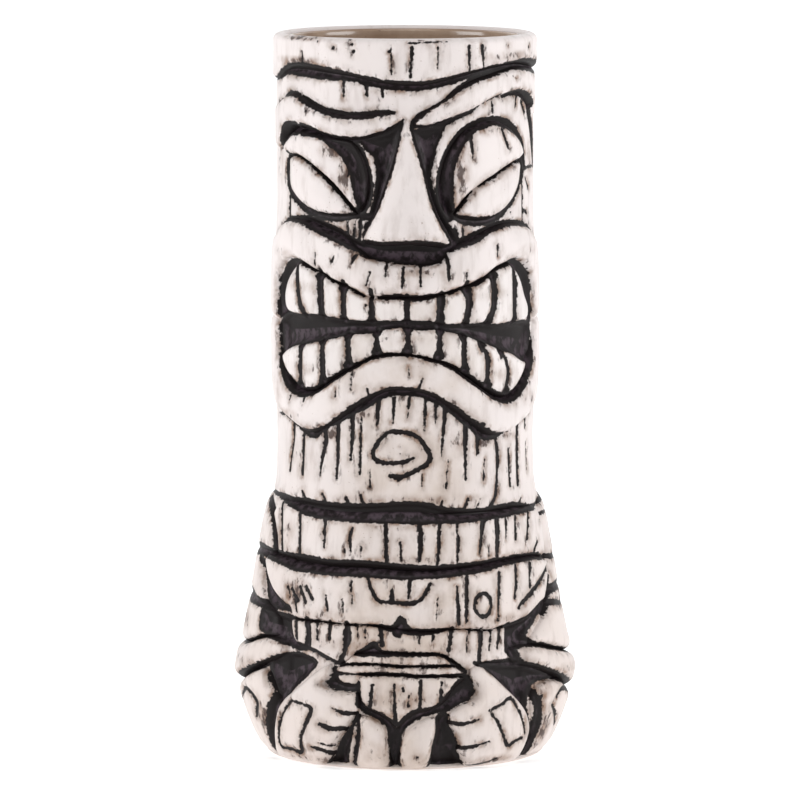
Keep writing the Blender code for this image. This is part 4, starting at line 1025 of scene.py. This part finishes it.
def columns_round():
    """u of each column of the wall: close together at the front, wider apart at the back."""
    front = np.linspace(-FRONT_HALF, FRONT_HALF, round(2 * FRONT_HALF / WALL_STEP) + 1)
    behind = round((ROUND - 2 * FRONT_HALF) / BACK_STEP) + 1
    return np.concatenate([front, np.linspace(FRONT_HALF, ROUND - FRONT_HALF, behind)[1:-1]])


def lathe(name, rings, columns, node, material, closed):
    """Rings of (radius, z, stain) joined into one body, as a loop of rings or with a point at each end."""
    count = len(columns)
    points = np.concatenate([wrapped(columns, z, radius) for radius, z, _ in rings])
    stain = np.concatenate([np.broadcast_to(value, (count,)) for _, _, value in rings])
    here = np.arange(count)
    after = np.roll(here, -1)
    faces = []
    for k in range(len(rings) if closed else len(rings) - 1):
        low, high = k * count, (k + 1) % len(rings) * count
        faces += list(np.stack([here + low, after + low, after + high, here + high], axis=1))
    if not closed:
        last = len(rings) - 1
        for k, edge in ((0, (after, here)), (last, (here + last * count, after + last * count))):
            _, z, value = rings[k]
            faces += list(np.stack([*edge, np.full(count, len(points))], axis=1))
            points = np.vstack([points, [[0.0, 0.0, np.mean(z)]]])
            stain = np.append(stain, np.mean(value))
    return add_piece(name, points, faces, stain, node, material)


# ---- The cup: wall, lining and rim coil ----
PLAIN = -HALO  # the field's value where nothing is drawn
BORE_HEIGHTS = (140.0, 110.0, 80.0, JOIN)
# The foot's rounded corner, as (share of the belly's radius, z)
FOOT = [(0.80, 0.9), (0.86, 0.35), (0.88, 0.05), (0.925, 0.0), (0.945, 0.25), (0.962, 0.8)]
FOOT_TOP = 1.4


def outside_rings(low, high, columns):
    """The carved outside of the wall from low to high."""
    rings = []
    for z in np.linspace(low, high, round((high - low) / WALL_STEP) + 1):
        stain = sample(STAIN, columns, np.full(len(columns), z))
        rings.append((wall_radius(z) + side_swell(columns, z) - carved(stain, columns), z, stain))
    return rings


def wall_head(columns, material):
    """The upper wall, with its mouth rounded over the lip."""
    bore = np.full(len(columns), BORE)
    lip = (HEAD - BORE - FLARE) / 2
    rings = outside_rings(JOIN, HEIGHT - lip, columns)
    for degrees in range(TURN_STEP, 181, TURN_STEP):
        turn = math.radians(degrees)
        radius = bore + FLARE + lip + lip * math.cos(turn)
        rings.append((radius, HEIGHT - lip + lip * math.sin(turn), PLAIN))
    rings += [(bore + flare(z), z, PLAIN) for z in FLARE_HEIGHTS + BORE_HEIGHTS]
    lathe("wall_head", rings, columns, "vessel_wall", material, True)


def wall_body(columns, material):
    """The lower wall with the foot and the floor."""
    ones = np.ones(len(columns))
    rings = [(BELLY * share * ones, z, PLAIN) for share, z in FOOT]
    rings += outside_rings(FOOT_TOP, JOIN, columns)
    rings += [(BORE * ones, z, PLAIN) for z in (JOIN, 40.0, 20.0, LINING_FLOOR + 5.0)]
    corner = [(BORE - 1.8, LINING_FLOOR + 1.6), (BORE - 5.0, LINING_FLOOR - 0.3)]
    rings += [(radius * ones, z, PLAIN) for radius, z in corner]
    lathe("wall_body", rings, columns, "vessel_wall", material, False)


def cove_rings(radius, floor, ones):
    """The round between the floor and the side of the lining."""
    turns = [math.radians(degrees) for degrees in range(0, 91, 10)]
    return [
        ((radius - COVE + COVE * math.sin(turn)) * ones, floor + COVE - COVE * math.cos(turn), PLAIN)
        for turn in turns
    ]


def throwing(z):
    """Depth of the faint throwing rings in the glaze."""
    return 0.07 * (1 + math.sin(z * 1.3 + 0.6 * math.sin(z / 9)))


def lining(material):
    """The glaze inside: a thin cup with faint throwing rings."""
    columns = np.linspace(-ROUND / 2, ROUND / 2, 145)[:-1]
    ones = np.ones(len(columns))
    top = HEIGHT - LINING_SHORT
    floor = LINING_FLOOR + LINING_THICK
    inner = LINING_OUTER - LINING_THICK
    heights = np.linspace(floor + COVE + 1.0, top - 0.6, 150)
    rings = [(LINING_MIDDLE * ones, floor, PLAIN)] + cove_rings(inner, floor, ones)
    rings += [((inner + flare(z) - throwing(z)) * ones, z, PLAIN) for z in heights]
    rings += [((LINING_OUTER + flare(top) - 0.25) * ones, top, PLAIN)]
    outside = (top - 0.4, *FLARE_HEIGHTS, 120.0, 60.0)
    rings += [((LINING_OUTER + flare(z)) * ones, z, PLAIN) for z in outside]
    rings += cove_rings(LINING_OUTER, LINING_FLOOR, ones)[::-1]
    rings += [(LINING_MIDDLE * ones, LINING_FLOOR, PLAIN)]
    # the rings run from the floor's inside to its underside, so they turn the faces the other way
    lathe("lining", rings[::-1], columns, "glaze_lining", material, False)


def rim(material):
    """The coil round the mouth. Its lower edge follows the wave and its top rolls over on to the lip."""
    columns = columns_round()
    ones = np.ones(len(columns))
    wave = catmull_rom(settled(RIM_WAVE))
    edge = np.interp(folded(columns), wave[:, 0], wave[:, 1])
    hem = edge - MARGIN
    shoulder = HEIGHT - RIM_ROLL - 0.2
    rings = []
    for share in np.linspace(0.0, 1.0, RIM_RINGS) ** 1.2:
        z = hem + (shoulder - hem) * share
        stain = sample(STAIN, columns, z)
        sunk = BURIED * np.clip((edge - z) / RIM_SINK, 0, 1)
        height = RIM_LIFT * quarter_round((z - edge) / RIM_EDGE) - sunk
        rings.append((HEAD + height - carved(stain, columns), z, stain))
    for degrees in range(10, 91, 10):
        turn = math.radians(degrees)
        z = shoulder + RIM_ROLL * math.sin(turn)
        stain = sample(STAIN, columns, z * ones)
        height = RIM_LIFT - RIM_ROLL * (1 - math.cos(turn))
        rings.append((HEAD + height - 0.5 * carved(stain, columns), z, stain))
    rings += [((HEAD - 1.2) * ones, shoulder, PLAIN), ((HEAD - BACKING) * ones, hem, PLAIN)]
    lathe("rim_band_coil", rings, columns, "rim_band", material, True)


# ---- Relief pieces ----
def grid_over(loop):
    """A grid of (u, z) over an outline."""
    low, high = loop.min(0) - MARGIN, loop.max(0) + MARGIN
    u, z = np.meshgrid(np.arange(low[0], high[0] + FINE, FINE), np.arange(low[1], high[1] + FINE, FINE))
    return u, np.maximum(z, LOWEST)


def squares_inside(z, inside):
    """The grid's squares that touch the outline or its skirt, each as four point numbers."""
    corners = (inside[:-1, :-1], inside[1:, :-1], inside[:-1, 1:], inside[1:, 1:])
    tall = z[1:, :-1] - z[:-1, :-1] > 0.01
    rows, columns = np.nonzero((np.max(corners, axis=0) > -SKIRT) & tall)
    index = np.arange(z.size).reshape(z.shape)
    turn = ((0, 0), (0, 1), (1, 1), (1, 0))
    return np.stack([index[rows + up, columns + along] for up, along in turn], axis=1)


def border_of(quads):
    """The edges that only one square has."""
    edges = np.concatenate([quads[:, [k, (k + 1) % 4]] for k in range(4)])
    keys = np.sort(edges, axis=1)
    _, where, count = np.unique(keys, axis=0, return_inverse=True, return_counts=True)
    return edges[count[where.reshape(-1)] == 1]


def relief(name, lift, edge, material):
    """A piece of relief: rounded at its edge, carved by the drawing, and sunk into the wall outside it."""
    loop = catmull_rom(settled(OUTLINES[name]), closed=True, step=1.0)
    u, z = grid_over(loop)
    inside = signed_distance(loop, u, z)
    stain = sample(STAIN, u, z)
    sunk = BURIED * np.clip(-inside / SINK_OVER, 0, 1)
    height = lift(u, z, inside) * quarter_round(inside / edge) - carved(stain, u) - sunk
    squares = squares_inside(z, inside)
    used, numbers = np.unique(squares, return_inverse=True)
    quads = numbers.reshape(squares.shape)
    border = np.searchsorted(used, border_of(squares))
    u, z, height, stain = (values.reshape(-1)[used] for values in (u, z, height, stain))
    base = wall_radius(z) + side_swell(u, z)
    count = len(used)
    sides = np.stack([border[:, 1], border[:, 0], border[:, 0] + count, border[:, 1] + count], axis=1)
    points = np.vstack([wrapped(u, z, base + height), wrapped(u, z, base - BACKING)])
    faces = np.vstack([quads, quads[:, ::-1] + count, sides])
    add_piece(name + "_clay", points, faces, np.concatenate([stain, stain]), name, material)


def flat_lift(value):
    """The same lift all over."""
    return lambda u, z, inside: value


def swollen(value, width, base=0.45, fade=0.72):
    """Grows from base of the lift at the outline to all of it width away, and loses fade at the sides."""

    def lift(u, z, inside):
        grown = base + (1 - base) * quarter_round(inside / width)
        return value * grown * (1 - fade * smooth_step(*RELIEF_FADES, np.abs(u)))

    return lift


def nose_lift(u, z, inside):
    """A wedge with a soft ridge, furthest out near its tip."""
    down = np.clip((NOSE_TOP - z) / NOSE_LENGTH, 0.0, 1.0)
    half = 0.9 + 10.2 * down
    across = np.clip(np.abs(u - 0.2) / half, 0.0, 1.0)
    ridge = 5.4 * down**1.25 * (1 - 0.8 * across**1.7)
    return (0.7 + ridge) * quarter_round((z - NOSE_TIP) / TIP_ROUND)


def arm_lift(u, z, inside):
    """The part of the arms' swell that the wall leaves to them, and the clay's own thickness."""
    return 0.9 + (1 - SWELL_SHARE) * arm_swell(u, z)


def hand_lift(u, z, inside):
    """The back of the hand is a low mound that falls towards the belt and the foot."""
    across = np.clip((np.abs(u + 1.0) - HAND_MIDDLE[0]) / HAND_HALF[0], -1.0, 1.0)
    upward = np.clip((z - HAND_MIDDLE[1]) / HAND_HALF[1], -1.0, 1.0)
    return 1.1 + 2.0 * np.sqrt(np.clip(1 - across**2 - upward**2, 0.0, 1.0))


# Each feature with its sides, its lift and the width of its rounded edge
BOTH = ("_right", "_left")
SINGLE = ("",)
FEATURES = [
    ("brow", BOTH, swollen(1.7, 3.4), 1.3),
    ("eyelid", BOTH, swollen(1.3, 3.0), 1.2),
    ("eye", BOTH, swollen(1.7, 6.5, 0.3), 1.2),
    ("nose", SINGLE, nose_lift, 1.6),
    ("upper_lip", SINGLE, swollen(2.1, 5.4, 0.4, 0.6), 1.5),
    ("lower_lip", SINGLE, swollen(2.1, 4.8, 0.4, 0.6), 1.5),
    ("upper_teeth", SINGLE, swollen(1.0, 2.0, 0.6), 1.0),
    ("lower_teeth", SINGLE, swollen(1.0, 2.0, 0.6), 1.0),
    ("neck_band", SINGLE, flat_lift(0.9), 1.6),
    ("collar", SINGLE, flat_lift(1.3), 1.5),
    ("fringe", SINGLE, flat_lift(1.0), 1.2),
    ("belt_upper", SINGLE, flat_lift(1.2), 0.9),
    ("belt_lower", SINGLE, flat_lift(1.1), 0.8),
    ("apron", SINGLE, flat_lift(0.9), 1.1),
    ("arm", BOTH, arm_lift, 3.2),
    ("elbow_cuff", BOTH, arm_lift, 2.6),
    ("forearm", BOTH, arm_lift, 3.0),
    ("hand", BOTH, hand_lift, 1.8),
    ("knee", BOTH, swollen(2.6, 4.0, 0.4), 1.4),
]
TEETH = ("upper_teeth", "lower_teeth")


# ---- Materials ----
NEAR_BLACK = (0.009, 0.006, 0.006)
# painted sheen: a lighter plum laid on the floors of wide strokes as a reflection on the glossy stain
PLUM_SHEEN = (0.070, 0.050, 0.062)
SEPIA = (0.24, 0.135, 0.080)
UMBER = (0.060, 0.036, 0.030)
# dust streaks on the clay, and painted shade in the broad wash beside the carved grooves
DUST_AND_SHADE = (0.36, 0.285, 0.245)
# painted shade down the middle of the front and back
MIDDLE_SHADE = (0.50, 0.40, 0.32)
WALL_CLAY = (0.80, 0.735, 0.72)
RELIEF_CLAY = (0.81, 0.745, 0.73)
FOOT_CLAY = (0.73, 0.645, 0.605)
TOOTH_CLAY = (0.83, 0.775, 0.76)
TOOTH_SHADE = (0.74, 0.67, 0.63)
TAN = (0.36, 0.245, 0.17)
PALE_TAN = (0.46, 0.33, 0.24)
BROWN = (0.12, 0.06, 0.035)

# Stain left on the clay beside a stroke; the broad first wash is also painted shade beside the carved
# groove.
# Each wash grows over a span of the field's values and is broken up by noise. A row is that span, the
# noise's size in mm, detail and stretch, the span it is read over, the least and most of the wash, and its
# colour.
WASHES = [
    ((-2.6, 0.1), (4.2, 5.0, 1.8), (0.44, 0.66), (0.04, 0.62), DUST_AND_SHADE),
    ((-1.15, 0.0), (3.4, 4.0, 1.6), (0.46, 0.66), (0.04, 0.78), SEPIA),
    ((-1.5, -0.1), (1.7, 5.0, 2.2), (0.565, 0.66), (0.0, 0.85), UMBER),
]


class Nodes:
    """Short names for building a node tree."""

    def __init__(self, name):
        self.material = bpy.data.materials.new(name)
        self.material.use_nodes = True
        self.tree = self.material.node_tree
        self.shader = self.tree.nodes["Principled BSDF"]
        self.place = self.tree.nodes.new("ShaderNodeTexCoord").outputs["Object"]

    def put(self, socket, value):
        """Links a socket, or sets the constant."""
        if isinstance(value, bpy.types.NodeSocket):
            self.tree.links.new(value, socket)
        else:
            socket.default_value = value

    def set(self, **values):
        """Sets constants of the shader, named with _ for each space."""
        for name, value in values.items():
            self.shader.inputs[name.replace("_", " ")].default_value = value

    def math(self, operation, a, b=0.0):
        node = self.tree.nodes.new("ShaderNodeMath")
        node.operation = operation
        self.put(node.inputs[0], a)
        self.put(node.inputs[1], b)
        return node.outputs[0]

    def times(self, a, b):
        return self.math("MULTIPLY", a, b)

    def plus(self, a, b):
        return self.math("ADD", a, b)

    def minus(self, a, b):
        return self.math("SUBTRACT", a, b)

    def range(self, value, low, high, to_low=0.0, to_high=1.0):
        """value's span from low to high, smoothly turned into to_low to to_high."""
        node = self.tree.nodes.new("ShaderNodeMapRange")
        node.interpolation_type = "SMOOTHSTEP"
        for socket, number in zip(node.inputs, (value, low, high, to_low, to_high)):
            self.put(socket, number)
        return node.outputs[0]

    def noise(self, size_mm, detail=2.0, stretch=1.0):
        """Noise from 0 to 1 with features about size_mm across, drawn out upright by stretch."""
        mapping = self.tree.nodes.new("ShaderNodeMapping")
        mapping.inputs["Scale"].default_value = (1.0, 1.0, 1.0 / stretch)
        self.put(mapping.inputs["Vector"], self.place)
        node = self.tree.nodes.new("ShaderNodeTexNoise")
        node.inputs["Scale"].default_value = 1.0 / (size_mm * MM)
        node.inputs["Detail"].default_value = detail
        node.inputs["Roughness"].default_value = 0.55
        self.put(node.inputs["Vector"], mapping.outputs[0])
        return node.outputs["Fac"]

    def patches(self, noise, span, amounts=(0.0, 1.0)):
        """A noise read over a span, as patches between two amounts."""
        return self.range(self.noise(*noise), *span, *amounts)

    def wobble(self, size_mm, detail, amount, stretch=1.0):
        """Noise centred on 0."""
        return self.times(self.minus(self.noise(size_mm, detail, stretch), 0.5), amount)

    def mix(self, factor, a, b):
        """Colour a where factor is 0 and b where it is 1."""
        node = self.tree.nodes.new("ShaderNodeMix")
        node.data_type = "RGBA"
        self.put(node.inputs["Factor"], factor)
        for socket, value in ((node.inputs["A"], a), (node.inputs["B"], b)):
            self.put(socket, (*value, 1.0) if isinstance(value, tuple) else value)
        return node.outputs["Result"]

    def bump(self, height, strength, distance_mm):
        node = self.tree.nodes.new("ShaderNodeBump")
        node.inputs["Strength"].default_value = strength
        node.inputs["Distance"].default_value = distance_mm * MM
        self.put(node.inputs["Height"], height)
        self.put(self.shader.inputs["Normal"], node.outputs[0])

    def stored(self, name):
        """A number that the mesh stores for each point."""
        node = self.tree.nodes.new("ShaderNodeAttribute")
        node.attribute_name = name
        return node.outputs["Fac"]


def aged_and_shaded_clay(n, upper, lower):
    """Clean clay with age: warmer near the foot, mottled, streaked and specked, with painted shade in a
    warm tea colour down the middle of the front and back, strongest low down.
    """
    split = n.tree.nodes.new("ShaderNodeSeparateXYZ")
    n.put(split.inputs[0], n.place)
    across, _, up = split.outputs
    clay = n.mix(n.range(up, 0.015, 0.10), lower, upper)
    # painted shade: the middle of the front and back, away from the side lamps, is darkened and warmed
    middle = n.range(n.math("ABSOLUTE", across), 0.008, 0.026, 1.0, 0.0)
    middle_shade = n.times(middle, n.range(up, 0.095, 0.135, 1.0, 0.12))
    clay = n.mix(n.times(middle_shade, n.patches((11.0, 4.0), (0.34, 0.66), (0.12, 0.52))), clay, MIDDLE_SHADE)
    mottle = n.times(n.patches((14.0, 4.0), (0.38, 0.68)), 0.5)
    clay = n.mix(mottle, clay, tuple(0.90 * channel for channel in upper))
    clay = n.mix(n.times(n.patches((2.6, 4.0, 5.0), (0.50, 0.72)), 0.22), clay, DUST_AND_SHADE)
    specks = n.times(n.patches((0.55, 1.0), (0.725, 0.79)), n.patches((9.0, 2.0), (0.48, 0.60)))
    return n.mix(n.times(specks, 0.65), clay, SEPIA)


def worn_and_shaded_clay(n, edge, upper, lower):
    """Aged clay with stain and painted shade beside the strokes, and darker patches of smudge and painted
    shade.
    """
    clay = aged_and_shaded_clay(n, upper, lower)
    for span, noise, noise_span, amounts, colour in WASHES:
        clay = n.mix(n.times(n.range(edge, *span), n.patches(noise, noise_span, amounts)), clay, colour)
    # patches of smudge and painted shade, tinted sepia and then umber
    smudge_and_shade = n.stored("smudge_and_shade")
    soft = n.times(n.range(smudge_and_shade, 0.0, 0.8), n.patches((3.0, 4.0, 1.5), (0.36, 0.66), (0.15, 0.75)))
    clay = n.mix(soft, clay, SEPIA)
    rough = n.plus(smudge_and_shade, n.wobble(1.3, 5.0, 1.9, 2.0))
    return n.mix(n.times(n.range(rough, 0.52, 0.80), 0.9), clay, UMBER)


def ink(n, stain):
    """The stain's colour: near black, with a painted plum sheen on the floors of the wide hollows, kept off
    the edges that overhang them, which stay black as in shade.
    """
    # painted sheen, only on floors that face out and not under an overhanging edge; floor is its strength
    # deep inside wide strokes
    unshaded_floor = n.range(n.stored("overhang"), -0.5, 0.45, 1.0, 0.0)
    floor = n.times(n.range(stain, 0.40, 1.4), n.patches((1.6, 4.0, 1.6), (0.40, 0.62), (0.05, 0.95)))
    return n.mix(n.times(floor, unshaded_floor), NEAR_BLACK, PLUM_SHEEN)


def stoneware(name, upper, lower):
    """Warm white satin glaze over the clay, with a dark stain where the drawing is."""
    n = Nodes(name)
    stain = n.stored("stain")
    edge = n.plus(stain, n.plus(n.wobble(0.9, 4.0, 1.05), n.wobble(3.2, 2.0, 0.6)))
    dark = n.range(edge, -0.10, 0.12)
    n.put(n.shader.inputs["Base Color"], n.mix(dark, worn_and_shaded_clay(n, edge, upper, lower), ink(n, stain)))
    roughness = n.plus(n.range(dark, 0.0, 1.0, 0.34, 0.50), n.times(n.noise(2.0, 2.0), 0.10))
    n.put(n.shader.inputs["Roughness"], roughness)
    n.set(Specular_IOR_Level=0.17, Coat_Weight=0.05, Coat_Roughness=0.22)
    grit = n.plus(n.times(n.noise(1.5, 3.0), 0.5), n.times(n.noise(7.0, 2.0), 0.9))
    n.bump(n.minus(grit, n.times(dark, 0.35)), 0.45, 0.18)
    return n.material


def lining_glaze():
    """Glossy tan glaze with brown specks."""
    n = Nodes("lining_glaze")
    tan = n.mix(n.patches((6.0, 4.0), (0.35, 0.7)), TAN, PALE_TAN)
    specks = n.times(n.patches((0.8, 2.0), (0.68, 0.76)), 0.6)
    n.put(n.shader.inputs["Base Color"], n.mix(specks, tan, BROWN))
    n.put(n.shader.inputs["Roughness"], n.patches((3.0, 2.0), (0.3, 0.7), (0.12, 0.24)))
    n.set(Coat_Weight=0.5, Coat_Roughness=0.08)
    n.bump(n.noise(2.4, 3.0), 0.25, 0.12)
    return n.material


# ---- Studio: all distances in heights of the mug ----
TALL = HEIGHT * MM
SWEEP_FRONT = -14
SWEEP_BACK = 6
SWEEP_BEND = 3
SWEEP_TOP = 12
SWEEP_HALF = 14
LAMPS = [  # name, place, size, power
    ("left", (-7.2, -2.6, 2.6), 4.4, 10.0),
    ("right", (7.2, -2.6, 2.6), 4.4, 10.0),
    ("top", (0.0, -1.5, 8.0), 4.0, 5.0),
]
WORLD_STRENGTH = 0.26
WHITE = (1.0, 1.0, 1.0, 1.0)
LENS = 326.3
CAMERA = (-0.007, -10.0, 1.556)
AIM = (-0.007, 0.0, 0.489)


def paper():
    """White paper that glows a little, so that it stays white behind the mug."""
    n = Nodes("paper")
    n.put(n.shader.inputs["Base Color"], n.mix(n.noise(300.0, 2.0), (0.93, 0.93, 0.93), (0.95, 0.95, 0.95)))
    n.set(Roughness=0.9, Emission_Color=WHITE, Emission_Strength=0.42)
    return n.material


def sweep():
    """A floor that bends up into a wall behind the mug."""
    line = [(SWEEP_FRONT, 0.0), (SWEEP_BACK, 0.0)]
    for degrees in range(10, 91, 10):
        turn = math.radians(degrees)
        line.append((SWEEP_BACK + SWEEP_BEND * math.sin(turn), SWEEP_BEND * (1 - math.cos(turn))))
    line.append((SWEEP_BACK + SWEEP_BEND, SWEEP_TOP))
    points = [(x * TALL, y * TALL, z * TALL) for y, z in line for x in (-SWEEP_HALF, SWEEP_HALF)]
    faces = [(2 * k, 2 * k + 1, 2 * k + 3, 2 * k + 2) for k in range(len(line) - 1)]
    mesh = bpy.data.meshes.new("sweep")
    mesh.from_pydata(points, [], faces)
    mesh.shade_smooth()
    mesh.materials.append(paper())
    stand = bpy.data.objects.new("sweep", mesh)
    bpy.context.scene.collection.objects.link(stand)


def pointed(name, data, place, target):
    """A lamp or camera at place, turned to look at target."""
    thing = bpy.data.objects.new(name, data)
    thing.location = Vector(place) * TALL
    thing.rotation_euler = (Vector(target) * TALL - thing.location).to_track_quat("-Z", "Y").to_euler()
    bpy.context.scene.collection.objects.link(thing)
    return thing


def studio():
    """The sweep, soft area lights, an even sky and the camera."""
    sweep()
    for name, place, size, power in LAMPS:
        lamp = bpy.data.lights.new(name, "AREA")
        lamp.size = size * TALL
        lamp.energy = power
        pointed(name, lamp, place, (0.0, 0.0, 0.5))

    world = bpy.data.worlds.new("studio")
    world.use_nodes = True
    sky = world.node_tree.nodes["Background"]
    sky.inputs["Color"].default_value = WHITE
    sky.inputs["Strength"].default_value = WORLD_STRENGTH
    bpy.context.scene.world = world

    lens = bpy.data.cameras.new("camera")
    lens.sensor_width = 36.0
    lens.lens = LENS
    bpy.context.scene.camera = pointed("camera", lens, CAMERA, AIM)
    bpy.context.scene.view_settings.view_transform = "Standard"


def build():
    """All the pieces in their materials, and the studio round them."""
    white = stoneware("wall_stoneware", WALL_CLAY, FOOT_CLAY)
    stained = stoneware("stained_stoneware", RELIEF_CLAY, FOOT_CLAY)
    enamel = stoneware("tooth_glaze", TOOTH_CLAY, TOOTH_SHADE)
    wall_head(columns_round(), white)
    wall_body(columns_round(), white)
    lining(lining_glaze())
    rim(stained)
    for feature, sides, lift, edge in FEATURES:
        slot, material = ("tooth_glaze", enamel) if feature in TEETH else ("stained_stoneware", stained)
        for side in sides:
            relief(feature + side, lift, edge, material)
    studio()


build()
